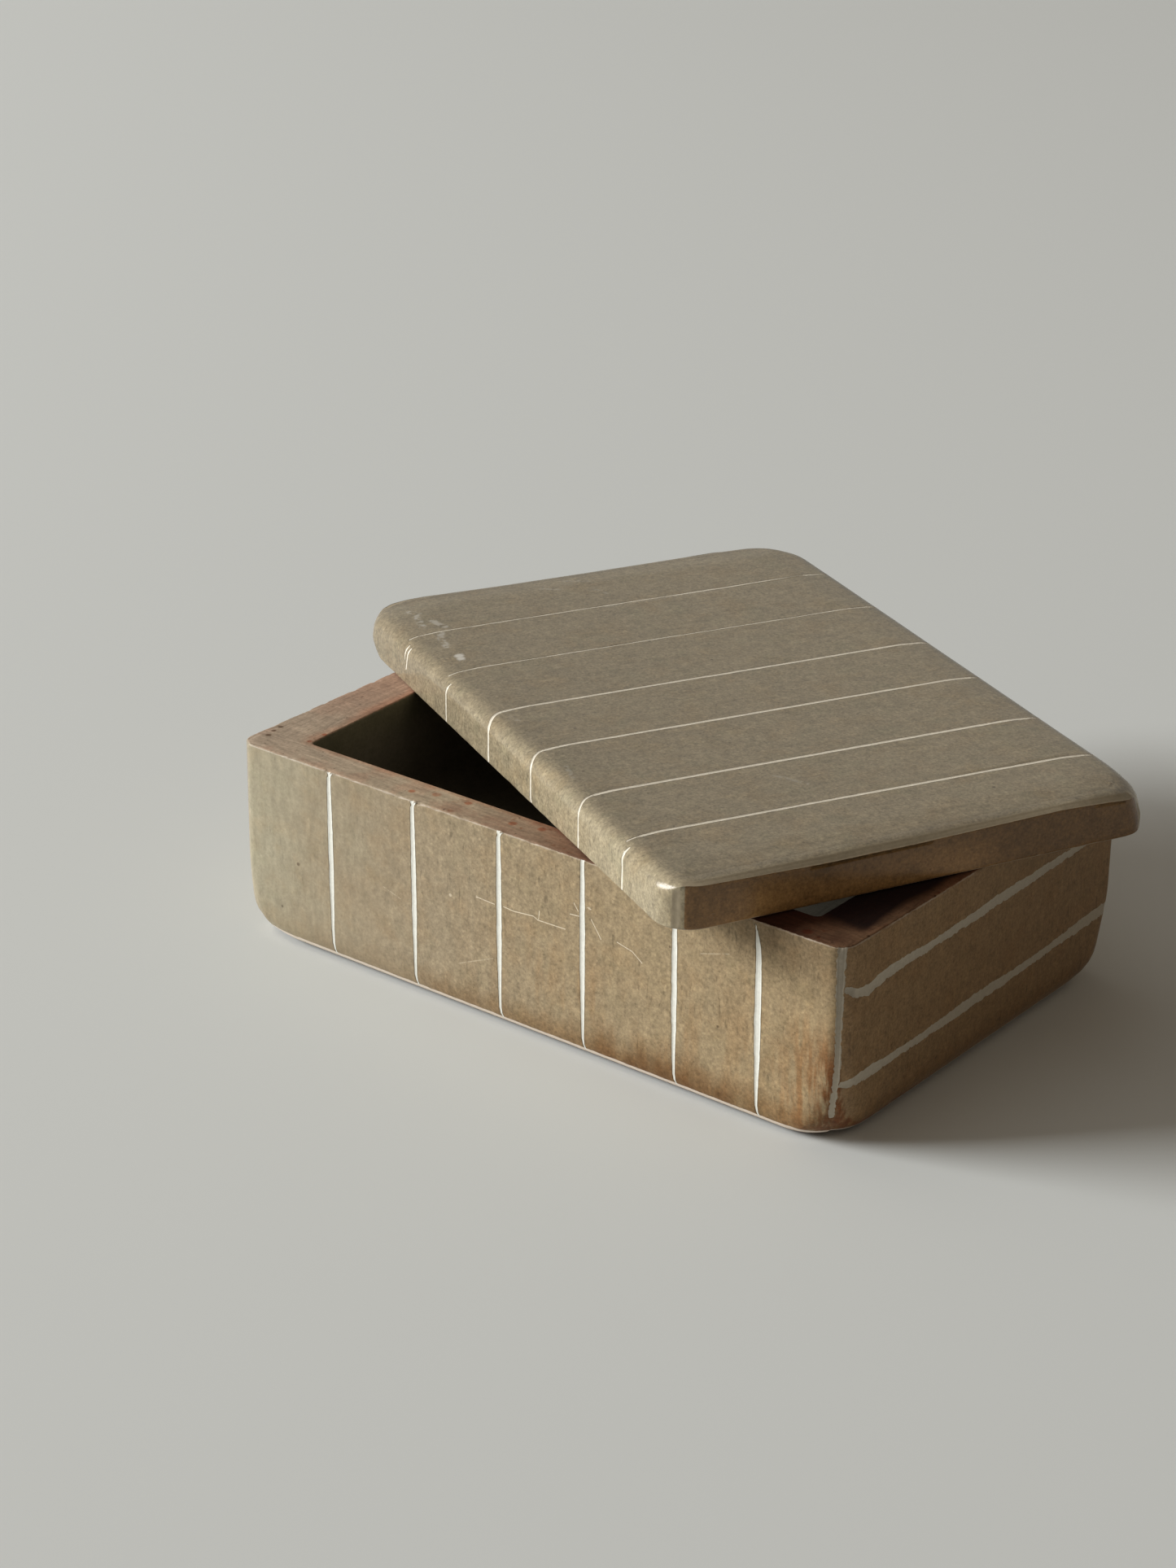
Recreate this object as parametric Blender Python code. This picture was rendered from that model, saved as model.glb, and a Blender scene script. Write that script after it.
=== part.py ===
"""A hand-carved soapstone box: a block hollowed out from its top, and a loose slab for a lid.

The block stands on Z = 0 with its long front towards -Y, and the origin is at the middle of its
underside. The lid lies flat on the rim, turned about the vertical and shifted back, so that two
corners of the hollow show. Pale lines are scratched through the dyed skin of both pieces: across
the lid and down its long sides, down the front and back of the block in register with them,
along the ends, and down every corner. All lengths are in metres.
"""

import math

import bmesh
import bpy
from mathutils import Vector

# The block's outer form
BLOCK_LENGTH = 0.150
BLOCK_WIDTH = 0.0965
BLOCK_HEIGHT = 0.0428
BLOCK_CORNER_RADII = (0.0038, 0.0040, 0.0025, 0.0030)   # upright edges at the rim, from front left
BLOCK_FOOT_RADII = (0.0060, 0.0100, 0.0085, 0.0070)     # the same edges at the underside, worn rounder
BLOCK_FOOT_HEIGHT = 0.020     # the upright edges grow rounder below this height
BLOCK_BASE_ROUND = 0.006      # between the faces and the underside

# The hollow in the block
FRONT_WALL = 0.0084           # and the back wall
LEFT_WALL_IN_FRONT = 0.0126   # the left wall grows thinner to the back
LEFT_WALL_AT_BACK = 0.0095
RIGHT_WALL = 0.0120
HOLLOW_DEPTH = 0.025
HOLLOW_DRAFT = 0.001          # each wall leans in by this much between rim and floor
HOLLOW_CORNER_RADII = (0.0025, 0.0025, 0.0025, 0.0025)
HOLLOW_FLOOR_ROUND = 0.004

# The lid, and how it lies on the rim
LID_LENGTH = 0.1554
LID_WIDTH = 0.1051
LID_THICKNESS = 0.0099
LID_END_SKEW = 0.0044         # the right end runs in by this much at the back
LID_BACK_SKEW = 0.0019        # the back runs in by this much at the left
LID_CORNER_RADII = (0.0074, 0.0073, 0.0061, 0.0120)     # from the front left, anticlockwise
LID_EDGE_IN = 0.004           # the rounded top edge, measured across
LID_EDGE_DOWN = 0.0036        # the same edge, measured down
LID_SHIFT_RIGHT = 0.0027
LID_SHIFT_BACK = 0.0179
LID_TURN_DEGREES = -27.4
RESTING_GAP = 0.0003

# The scratched lines: widths and depths
STRIPE_WIDTH = 0.0011         # down the front and back of the block
CORNER_LINE_WIDTH = 0.0018    # down the corners of the block
END_STRIPE_WIDTH = 0.0017     # along the ends of the block
LID_LINE_WIDTH = 0.0008       # across the lid and down its long sides
LID_BAND_WIDTH = 0.0018       # along the ends of the lid
LID_CORNER_LINE_WIDTH = 0.0014
LINE_DEPTH = 0.0004
CUT_OVERRUN = 0.001           # how far a cutter stands out of the stone

# The scratched lines: places
BLOCK_STRIPE_SHARES = (0.1680, 0.3155, 0.4605, 0.5980, 0.7435, 0.8717)   # of the block's length
LID_LINE_SHARES = (0.1493, 0.2902, 0.4363, 0.5721, 0.7214, 0.8481)   # of the lid's length
LID_SIDE_SHIFT = 0.0034       # down the front side, a lid line stands this much further right
END_STRIPE_HEIGHTS = (0.0150, 0.0337)
STRIPE_FOOT_SHARE = 0.7       # of the base round that a line runs down
LID_BAND_SHARE = 0.35         # of the lid's top edge, from its lower end, where the band lies

# How finely curves are cut into facets
CORNER_STEPS = 8
ROUND_STEPS = 6
FOOT_STEPS = 5
SHARPEST_RADIUS = 0.0005      # of a corner that an inset would make sharp

# Colours as RGB, and how rough the surfaces are
DYED_STONE = (0.40, 0.33, 0.22)
LID_STONE = (0.38, 0.32, 0.22)
STONE_ROUGHNESS = 0.5
SMOOTH_ANGLE_DEGREES = 35

FRONT_LEFT, FRONT_RIGHT, BACK_RIGHT, BACK_LEFT = range(4)
QUARTER_TURN = math.pi / 2


def clear_scene():
    """Take out whatever objects the file opened with."""
    for item in list(bpy.data.objects):
        bpy.data.objects.remove(item, do_unlink=True)


def quadrilateral(length, width, end_skew, back_skew):
    """The four corners of a hand-cut rectangle, anticlockwise from the front left."""
    return [
        Vector((-length / 2, -width / 2)),
        Vector((length / 2, -width / 2)),
        Vector((length / 2 - end_skew, width / 2)),
        Vector((-length / 2, width / 2 - back_skew)),
    ]


def rounded_outline(corners, radii, inset):
    """Points and outward directions, anticlockwise, of an outline with round corners.

    The whole outline is drawn in by inset, and its corners keep their centres.
    """
    outline = []
    for index, corner in enumerate(corners):
        kept_radius = max(radii[index], inset + SHARPEST_RADIUS)
        arriving = (corner - corners[index - 1]).normalized()
        leaving = (corners[(index + 1) % len(corners)] - corner).normalized()
        inward_before = Vector((-arriving.y, arriving.x))
        inward_after = Vector((-leaving.y, leaving.x))
        reach = kept_radius / (1 + inward_before.dot(inward_after))
        centre = corner + (inward_before + inward_after) * reach
        start = math.atan2(-inward_before.y, -inward_before.x)
        turn = math.atan2(arriving.x * leaving.y - arriving.y * leaving.x, arriving.dot(leaving))
        for step in range(CORNER_STEPS + 1):
            angle = start + turn * step / CORNER_STEPS
            direction = Vector((math.cos(angle), math.sin(angle)))
            outline.append((centre + direction * (kept_radius - inset), direction))
    return outline


def middle_of_corner(corner):
    """Where in an outline's list the middle of that corner's arc stands."""
    return corner * (CORNER_STEPS + 1) + CORNER_STEPS // 2


def along_outline(outline, from_corner, to_corner):
    """The part of an outline from the middle of one corner on to the middle of the next."""
    first = middle_of_corner(from_corner)
    last = middle_of_corner(to_corner)
    if last < first:
        last += len(outline)
    return [outline[index % len(outline)] for index in range(first, last + 1)]


def ring(corners, radii, inset, height):
    """One closed loop of points at a given height."""
    return [point.to_3d() + Vector((0, 0, height))
            for point, _direction in rounded_outline(corners, radii, inset)]


def skin(name, loops):
    """A closed mesh through loops of as many points each, with both ends capped."""
    shape = bmesh.new()
    rows = [[shape.verts.new(point) for point in loop] for loop in loops]
    shape.faces.new(reversed(rows[0]))
    for lower, upper in zip(rows, rows[1:]):
        for index in range(len(lower)):
            following = (index + 1) % len(lower)
            shape.faces.new((lower[index], lower[following], upper[following], upper[index]))
    shape.faces.new(rows[-1])
    bmesh.ops.recalc_face_normals(shape, faces=shape.faces)
    mesh = bpy.data.meshes.new(name)
    shape.to_mesh(mesh)
    shape.free()
    return mesh


def groove_cutter(name, path, width, cutters, depth=LINE_DEPTH):
    """A three-sided bar that leaves a V-shaped groove along a path on the surface.

    The path is a list of points, each with the direction that faces out of the stone there.
    """
    half_width = width / 2 * (depth + CUT_OVERRUN) / depth
    loops = []
    for index, (point, outward) in enumerate(path):
        before = path[max(index - 1, 0)][0]
        after = path[min(index + 1, len(path) - 1)][0]
        across = (after - before).cross(outward).normalized()
        top = point + outward * CUT_OVERRUN
        loops.append([point - outward * depth, top - across * half_width, top + across * half_width])
    cutter = bpy.data.objects.new(name, skin(name, loops))
    cutter.hide_render = True
    cutter.display_type = 'WIRE'
    cutters.objects.link(cutter)


def cut_with(piece, cutters):
    """Take every cutter in a collection out of a piece."""
    grooves = piece.modifiers.new("Scratched lines", 'BOOLEAN')
    grooves.operation = 'DIFFERENCE'
    grooves.solver = 'EXACT'
    grooves.operand_type = 'COLLECTION'
    grooves.collection = cutters


def new_collection(name):
    """A collection of its own, linked to the scene."""
    collection = bpy.data.collections.new(name)
    bpy.context.scene.collection.children.link(collection)
    return collection


def stone_material(name, colour):
    """Dyed and waxed stone."""
    material = bpy.data.materials.new(name)
    material.use_nodes = True
    shader = material.node_tree.nodes["Principled BSDF"]
    shader.inputs["Base Color"].default_value = (*colour, 1)
    shader.inputs["Roughness"].default_value = STONE_ROUGHNESS
    shader.inputs["Metallic"].default_value = 0
    material.diffuse_color = (*colour, 1)
    return material


def new_piece(name, mesh, colour):
    """A sub-part with its own finish, shaded smooth over its rounds."""
    mesh.shade_smooth()
    mesh.set_sharp_from_angle(angle=math.radians(SMOOTH_ANGLE_DEGREES))
    mesh.materials.append(stone_material(name, colour))
    piece = bpy.data.objects.new(name, mesh)
    bpy.context.scene.collection.objects.link(piece)
    return piece


def block_corner_radii(height):
    """How round the block's upright edges are: tight at the rim, and rounder towards the foot."""
    rise = min(height / BLOCK_FOOT_HEIGHT, 1)
    ease = rise * rise * (3 - 2 * rise)
    return [foot + (rim - foot) * ease for rim, foot in zip(BLOCK_CORNER_RADII, BLOCK_FOOT_RADII)]


def block_corners():
    """Plan of the block's outside."""
    return quadrilateral(BLOCK_LENGTH, BLOCK_WIDTH, 0, 0)


def hollow_corners():
    """Plan of the hollow at the rim: the block's plan, less its walls."""
    inward = [(LEFT_WALL_IN_FRONT, FRONT_WALL), (-RIGHT_WALL, FRONT_WALL),
              (-RIGHT_WALL, -FRONT_WALL), (LEFT_WALL_AT_BACK, -FRONT_WALL)]
    return [corner + Vector(walls) for corner, walls in zip(block_corners(), inward)]


def block_loops():
    """Loops from the underside, up the outside, over the rim and down to the hollow's floor."""
    loops = []
    for step in range(ROUND_STEPS + 1):
        angle = QUARTER_TURN * step / ROUND_STEPS
        inset = BLOCK_BASE_ROUND * (1 - math.sin(angle))
        height = BLOCK_BASE_ROUND * (1 - math.cos(angle))
        loops.append(ring(block_corners(), block_corner_radii(height), inset, height))
    foot_rise = BLOCK_FOOT_HEIGHT - BLOCK_BASE_ROUND
    for step in range(1, FOOT_STEPS + 1):
        height = BLOCK_BASE_ROUND + foot_rise * step / FOOT_STEPS
        loops.append(ring(block_corners(), block_corner_radii(height), 0, height))
    loops.append(ring(block_corners(), BLOCK_CORNER_RADII, 0, BLOCK_HEIGHT))
    loops.append(ring(hollow_corners(), HOLLOW_CORNER_RADII, 0, BLOCK_HEIGHT))
    floor_height = BLOCK_HEIGHT - HOLLOW_DEPTH
    for step in range(ROUND_STEPS + 1):
        angle = QUARTER_TURN * step / ROUND_STEPS
        inset = HOLLOW_DRAFT + HOLLOW_FLOOR_ROUND * (1 - math.cos(angle))
        height = floor_height + HOLLOW_FLOOR_ROUND * (1 - math.sin(angle))
        loops.append(ring(hollow_corners(), HOLLOW_CORNER_RADII, inset, height))
    return loops


def down_the_block(place):
    """A path down a face of the block, from above the rim to near the underside.

    place gives, for an inset and a height, the plan point and the direction that faces out.
    """
    path = []
    for height in (BLOCK_HEIGHT + CUT_OVERRUN, BLOCK_HEIGHT):
        point, outward = place(0, height)
        path.append((point.to_3d() + Vector((0, 0, height)), outward.to_3d()))
    foot_rise = BLOCK_FOOT_HEIGHT - BLOCK_BASE_ROUND
    for step in reversed(range(1, FOOT_STEPS + 1)):
        height = BLOCK_BASE_ROUND + foot_rise * step / FOOT_STEPS
        point, outward = place(0, height)
        path.append((point.to_3d() + Vector((0, 0, height)), outward.to_3d()))
    for step in range(ROUND_STEPS + 1):
        angle = QUARTER_TURN * STRIPE_FOOT_SHARE * step / ROUND_STEPS
        height = BLOCK_BASE_ROUND * (1 - math.sin(angle))
        point, outward = place(BLOCK_BASE_ROUND * (1 - math.cos(angle)), height)
        facing = outward.to_3d() * math.cos(angle) - Vector((0, 0, math.sin(angle)))
        path.append((point.to_3d() + Vector((0, 0, height)), facing))
    return path


def cut_block_stripes(cutters):
    """The upright stripes down the front and the back."""
    for number, share in enumerate(BLOCK_STRIPE_SHARES, start=1):
        across = BLOCK_LENGTH * (share - 0.5)
        for side_name, side in (("front", -1), ("back", 1)):
            def place(inset, _height, side=side, across=across):
                return Vector((across, side * (BLOCK_WIDTH / 2 - inset))), Vector((0, side))
            groove_cutter(f"cut_{side_name}_stripe_{number}", down_the_block(place),
                          STRIPE_WIDTH, cutters)


def cut_block_corner_lines(cutters):
    """The wider line down each upright corner."""
    for corner in (FRONT_LEFT, FRONT_RIGHT, BACK_RIGHT, BACK_LEFT):
        def place(inset, height, corner=corner):
            outline = rounded_outline(block_corners(), block_corner_radii(height), inset)
            return outline[middle_of_corner(corner)]
        groove_cutter(f"cut_corner_line_{corner}", down_the_block(place),
                      CORNER_LINE_WIDTH, cutters)


def cut_block_end_stripes(cutters):
    """The level stripes along both ends, from corner line to corner line."""
    for number, height in enumerate(END_STRIPE_HEIGHTS, start=1):
        outline = rounded_outline(block_corners(), block_corner_radii(height), 0)
        lift = Vector((0, 0, height))
        for start, end in ((FRONT_RIGHT, BACK_RIGHT), (BACK_LEFT, FRONT_LEFT)):
            path = [(point.to_3d() + lift, outward.to_3d())
                    for point, outward in along_outline(outline, start, end)]
            groove_cutter(f"cut_end_stripe_{number}_{start}", path, END_STRIPE_WIDTH, cutters)


def make_block():
    """The hollowed block, cut with its lines."""
    block = new_piece("box_body", skin("box_body", block_loops()), DYED_STONE)
    cutters = new_collection("block line cutters")
    cut_block_stripes(cutters)
    cut_block_corner_lines(cutters)
    cut_block_end_stripes(cutters)
    cut_with(block, cutters)
    return block


def lid_corners():
    """Plan of the lid about its own middle."""
    return quadrilateral(LID_LENGTH, LID_WIDTH, LID_END_SKEW, LID_BACK_SKEW)


def lid_edge(share):
    """Inset, height and outward slope at a share of the way up the lid's rounded top edge."""
    angle = QUARTER_TURN * share
    inset = LID_EDGE_IN * (1 - math.cos(angle))
    height = LID_THICKNESS - LID_EDGE_DOWN * (1 - math.sin(angle))
    slope = Vector((math.cos(angle) * LID_EDGE_DOWN, math.sin(angle) * LID_EDGE_IN)).normalized()
    return inset, height, slope


def lid_loops():
    """Loops from the flat underside up the sides and over the rounded top edge."""
    loops = [ring(lid_corners(), LID_CORNER_RADII, 0, 0)]
    for step in range(ROUND_STEPS + 1):
        inset, height, _slope = lid_edge(step / ROUND_STEPS)
        loops.append(ring(lid_corners(), LID_CORNER_RADII, inset, height))
    return loops


def lid_side_y(across, corners, left, right):
    """Where a long side of the lid stands at a place along its length."""
    share = (across - corners[left].x) / (corners[right].x - corners[left].x)
    return corners[left].y + (corners[right].y - corners[left].y) * share


def up_the_lid_side(across, shift, edge_y, side):
    """A path up one long side of the lid, from below up to its flat top.

    On the side it stands further right by shift, and comes back as it climbs the rounded edge.
    """
    outward = Vector((0, side, 0))
    path = [(Vector((across + shift, edge_y, -CUT_OVERRUN)), outward)]
    for step in range(ROUND_STEPS + 1):
        share = step / ROUND_STEPS
        inset, height, slope = lid_edge(share)
        facing = Vector((0, side * slope.x, slope.y))
        path.append((Vector((across + shift * (1 - share), edge_y - side * inset, height)), facing))
    return path


def cut_lid_lines(cutters):
    """The lines across the lid, which run on down both of its long sides."""
    corners = lid_corners()
    for number, share in enumerate(LID_LINE_SHARES, start=1):
        across = LID_LENGTH * (share - 0.5)
        front_y = lid_side_y(across, corners, FRONT_LEFT, FRONT_RIGHT)
        back_y = lid_side_y(across, corners, BACK_LEFT, BACK_RIGHT)
        front = up_the_lid_side(across, LID_SIDE_SHIFT, front_y, -1)
        back = up_the_lid_side(across, 0, back_y, 1)
        path = front + back[::-1]
        groove_cutter(f"cut_lid_line_{number}", path, LID_LINE_WIDTH, cutters)


def cut_lid_end_bands(cutters):
    """The level band along the top edge of both ends."""
    inset, height, slope = lid_edge(LID_BAND_SHARE)
    outline = rounded_outline(lid_corners(), LID_CORNER_RADII, inset)
    lift = Vector((0, 0, height))
    for start, end in ((FRONT_RIGHT, BACK_RIGHT), (BACK_LEFT, FRONT_LEFT)):
        path = [(point.to_3d() + lift, outward.to_3d() * slope.x + Vector((0, 0, slope.y)))
                for point, outward in along_outline(outline, start, end)]
        groove_cutter(f"cut_lid_band_{start}", path, LID_BAND_WIDTH, cutters)


def cut_lid_corner_lines(cutters):
    """The line up each corner of the lid, from its underside to the band."""
    for corner in (FRONT_LEFT, FRONT_RIGHT, BACK_RIGHT, BACK_LEFT):
        path = []
        for share in (None, 0, LID_BAND_SHARE):
            inset, height, slope = (0, -CUT_OVERRUN, Vector((1, 0))) if share is None else lid_edge(share)
            outline = rounded_outline(lid_corners(), LID_CORNER_RADII, inset)
            point, outward = outline[middle_of_corner(corner)]
            path.append((point.to_3d() + Vector((0, 0, height)),
                         outward.to_3d() * slope.x + Vector((0, 0, slope.y))))
        groove_cutter(f"cut_lid_corner_line_{corner}", path, LID_CORNER_LINE_WIDTH, cutters)


def make_lid():
    """The slab, cut with its lines, then laid askew on the block's rim."""
    lid = new_piece("lid", skin("lid", lid_loops()), LID_STONE)
    cutters = new_collection("lid line cutters")
    cut_lid_lines(cutters)
    cut_lid_end_bands(cutters)
    cut_lid_corner_lines(cutters)
    seat = bpy.data.objects.new("lid_seat", None)
    bpy.context.scene.collection.objects.link(seat)
    for piece in [lid, *cutters.objects]:
        piece.parent = seat
    seat.location = (LID_SHIFT_RIGHT, LID_SHIFT_BACK, BLOCK_HEIGHT + RESTING_GAP)
    seat.rotation_euler = (0, 0, math.radians(LID_TURN_DEGREES))
    cut_with(lid, cutters)
    return lid


clear_scene()
make_block()
make_lid()
bpy.context.view_layer.update()
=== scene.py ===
# %% [markdown]
# # A hand-carved stone box
# The object is a small trinket box of soft soapstone: a block hollowed out from its top, and a
# loose slab that lies askew on its rim. The stone was dyed tan and waxed, and then lines were
# scratched through the dye, so that the pale stone shows in them.
#
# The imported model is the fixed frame: two bodies, the box and its lid, at their real size in
# metres. This script makes a finer skin for each of them, and gives the skins their finish.

# %% Load the frame
import math

import bpy
from mathutils import Matrix, Vector


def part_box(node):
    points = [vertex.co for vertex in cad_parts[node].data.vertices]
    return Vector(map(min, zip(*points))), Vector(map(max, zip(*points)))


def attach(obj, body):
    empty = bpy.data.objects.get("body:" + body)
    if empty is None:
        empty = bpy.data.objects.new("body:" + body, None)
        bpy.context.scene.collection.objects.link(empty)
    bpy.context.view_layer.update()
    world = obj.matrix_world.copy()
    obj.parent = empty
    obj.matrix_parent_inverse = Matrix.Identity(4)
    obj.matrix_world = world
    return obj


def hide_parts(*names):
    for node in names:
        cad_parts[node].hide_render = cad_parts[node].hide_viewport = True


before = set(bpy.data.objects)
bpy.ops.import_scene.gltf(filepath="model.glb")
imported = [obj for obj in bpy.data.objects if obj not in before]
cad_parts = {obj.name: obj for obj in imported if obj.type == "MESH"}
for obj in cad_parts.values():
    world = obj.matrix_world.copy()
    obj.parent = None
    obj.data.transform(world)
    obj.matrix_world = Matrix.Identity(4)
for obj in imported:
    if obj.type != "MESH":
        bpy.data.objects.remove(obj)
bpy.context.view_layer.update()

block_low, block_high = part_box("box_body")
lid_low, lid_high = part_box("lid")
print("block from", tuple(block_low), "to", tuple(block_high))

# %% [markdown]
# ## The sizes
# The block's outer size and the lid's thickness are read from the frame. The walls, rounds and
# the turn of the lid can't be read from a box round the piece, so they are named here, as the
# carver would measure them.

# %% Sizes of the block, in metres
BLOCK_LENGTH = block_high.x - block_low.x
BLOCK_WIDTH = block_high.y - block_low.y
BLOCK_HEIGHT = block_high.z - block_low.z
BLOCK_CORNER_RADII = (0.0038, 0.0040, 0.0025, 0.0030)   # upright edges at the rim, from front left
BLOCK_FOOT_RADII = (0.0060, 0.0100, 0.0085, 0.0070)     # the same edges at the underside, worn rounder
BLOCK_FOOT_HEIGHT = 0.020     # the upright edges grow rounder below this height
BLOCK_BASE_ROUND = 0.0080     # between the faces and the underside
BLOCK_FIRMNESS = (4.0, 2.4, 3.0, 2.6)   # how sharply each face turns under there: 2 is a plain round
BLOCK_HEEL_WEAR = (0.0015, 0.0022, 0.0038, 0.0040)      # what wear adds to the corner radii lowest down
BLOCK_HEEL_HEIGHT = 0.0055
RIM_OUTER_ROUND = 0.0006
RIM_INNER_ROUND = 0.0005
FRONT_WALL = 0.0084           # and the back wall
LEFT_WALL_IN_FRONT = 0.0126   # the left wall grows thinner to the back
LEFT_WALL_AT_BACK = 0.0095
RIGHT_WALL = 0.0120
HOLLOW_DEPTH = 0.025
HOLLOW_DRAFT = 0.001          # each wall leans in by this much between rim and floor
HOLLOW_CORNER_RADIUS = 0.0011
HOLLOW_FLOOR_ROUND = 0.004
print(f"block {BLOCK_LENGTH:.4f} x {BLOCK_WIDTH:.4f} x {BLOCK_HEIGHT:.4f} m")

# %% Sizes of the lid, and how it lies
LID_LENGTH = 0.1554
LID_WIDTH = 0.1051
LID_THICKNESS = lid_high.z - lid_low.z
LID_END_SKEW = 0.0044         # the right end runs in by this much at the back
LID_BACK_SKEW = 0.0019        # the back runs in by this much at the left
LID_CORNER_RADII = (0.0074, 0.0073, 0.0061, 0.0120)     # from the front left, anticlockwise
LID_EDGE_IN = 0.004           # the rounded top edge, measured across
LID_EDGE_DOWN = 0.0036        # the same edge, measured down, along the two long sides
LID_ARRIS = ((0, 0.0092), (0.3, 0.0082), (0.5, 0.0082), (0.8, 0.0088), (1, 0.0078))
# Along the two ends the top rolls over to a sharp edge: its height at shares of the end's length.
LID_UNDER_ROUND = 0.0005
LID_SHOULDER_REACH = 0.010    # the flat top sinks gently from this far inside the edge
LID_SHOULDER_DROP = 0.0004
LID_SHIFT_RIGHT = 0.0027
LID_SHIFT_BACK = 0.0179
LID_TURN = math.radians(-27.4)
LID_PLACE = (Matrix.Translation((LID_SHIFT_RIGHT, LID_SHIFT_BACK, lid_low.z))
             @ Matrix.Rotation(LID_TURN, 4, 'Z'))
print(f"lid {LID_LENGTH:.4f} x {LID_WIDTH:.4f} x {LID_THICKNESS:.4f} m")

# %% [markdown]
# ## Node trees written as sums
# Materials and Geometry Nodes are both graphs of small steps. Dragging them by hand hides the
# idea, so one class wraps a node's output: adding, multiplying or comparing two of them adds the
# Math node that does it. Every other node comes from one method, add, which is told the node's
# type, its settings and what goes into its sockets.

# %% A graph, and the signals that run in it
class Signal:
    """An output of a node that takes part in Python sums: each sum adds a Math node."""

    def __init__(self, graph, socket):
        self.graph = graph
        self.socket = socket

    def _math(self, operation, *values):
        return self.graph.add("ShaderNodeMath", {"operation": operation}, dict(enumerate(values)))

    def __add__(self, other):
        return self._math('ADD', self, other)

    def __radd__(self, other):
        return self._math('ADD', other, self)

    def __sub__(self, other):
        return self._math('SUBTRACT', self, other)

    def __rsub__(self, other):
        return self._math('SUBTRACT', other, self)

    def __mul__(self, other):
        return self._math('MULTIPLY', self, other)

    def __rmul__(self, other):
        return self._math('MULTIPLY', other, self)

    def __truediv__(self, other):
        return self._math('DIVIDE', self, other)

    def __rtruediv__(self, other):
        return self._math('DIVIDE', other, self)

    def __abs__(self):
        return self._math('ABSOLUTE', self)

    def least(self, other):
        """The smaller of the two."""
        return self._math('MINIMUM', self, other)

    def most(self, other):
        """The larger of the two."""
        return self._math('MAXIMUM', self, other)


class Graph:
    """A node tree in which one method adds any node."""

    def __init__(self, tree):
        self.tree = tree

    def add(self, kind, settings=None, inputs=None, output=0):
        """Add a node: its settings first, then a value or a link for each socket named.

        A tree's last node has no output, and then nothing comes back.
        """
        node = self.tree.nodes.new(kind)
        for name, value in (settings or {}).items():
            if name == "stops":
                self._set_stops(node.color_ramp, value)
            else:
                setattr(node, name, value)
        for name, value in (inputs or {}).items():
            if isinstance(value, Signal):
                self.tree.links.new(value.socket, node.inputs[name])
            else:
                node.inputs[name].default_value = value
        return Signal(self, node.outputs[output]) if node.outputs else None

    @staticmethod
    def _set_stops(ramp, stops):
        for place, colour in stops[2:]:
            ramp.elements.new(place)
        for element, (place, colour) in zip(ramp.elements, stops):
            element.position = place
            element.color = (*colour, 1)

    def vector(self, operation, first, second=(0, 0, 0), output=0):
        """A step on vectors, such as adding two of them."""
        return self.add("ShaderNodeVectorMath", {"operation": operation}, {0: first, 1: second}, output)

    def scaled(self, vector, amount):
        """A vector times a number."""
        return self.add("ShaderNodeVectorMath", {"operation": 'SCALE'}, {0: vector, "Scale": amount})

    def step(self, value, low, high):
        """0 below low, 1 above high, and a soft S between them. High may be the smaller one."""
        return self.add("ShaderNodeMapRange", {"interpolation_type": 'SMOOTHSTEP'},
                        {"Value": value, "From Min": low, "From Max": high})

    def noise(self, place, size, seed, detail=2.0, roughness=0.5, output="Fac"):
        """Soft random lumps of a given size in metres, from 0 to 1 about a middle of 0.5."""
        return self.add("ShaderNodeTexNoise", {"noise_dimensions": '4D'},
                        {"Vector": place, "W": seed, "Scale": 1 / size, "Detail": detail,
                         "Roughness": roughness}, output)

    def named(self, attribute):
        """A value that the mesh carries on its points, in a material."""
        return self.add("ShaderNodeAttribute", {"attribute_name": attribute}, output="Fac")

    def kept(self, attribute):
        """The same, in Geometry Nodes."""
        return self.add("GeometryNodeInputNamedAttribute", {"data_type": 'FLOAT'}, {"Name": attribute})

    def stored(self, geometry, attribute, value):
        """The geometry, with a value written on its points."""
        return self.add("GeometryNodeStoreNamedAttribute", {"data_type": 'FLOAT', "domain": 'POINT'},
                        {"Geometry": geometry, "Name": attribute, "Value": value})

    def parts(self, vector):
        """The three parts of a vector, each as its own signal."""
        return [self.add("ShaderNodeSeparateXYZ", inputs={"Vector": vector}, output=axis) for axis in "XYZ"]

    def mix(self, amount, first, second):
        """The first colour where amount is 0, the second where it is 1."""
        first, second = [colour if isinstance(colour, Signal) else (*colour, 1) for colour in (first, second)]
        return self.add("ShaderNodeMix", {"data_type": 'RGBA'}, {0: amount, 6: first, 7: second}, 2)


print("node helpers ready")

# %% [markdown]
# ## The camera
# The camera was placed by fitting the box's edges in the photograph: a short telephoto view from
# 0.72 m away, 24 degrees above the surface. The sensor's width belongs to the long side of the
# frame, which is the upright one here.

# %% Camera
FRAME_PIXELS_HIGH = 1927
FOCAL_PIXELS = 4300
SENSOR = 36.0
CAMERA_PLACE = Vector((0.38459, -0.51878, 0.32650))
CAMERA_RIGHT = Vector((0.78436, 0.62024, 0.00931))
CAMERA_UP = Vector((-0.26014, 0.31527, 0.91265))

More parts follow.
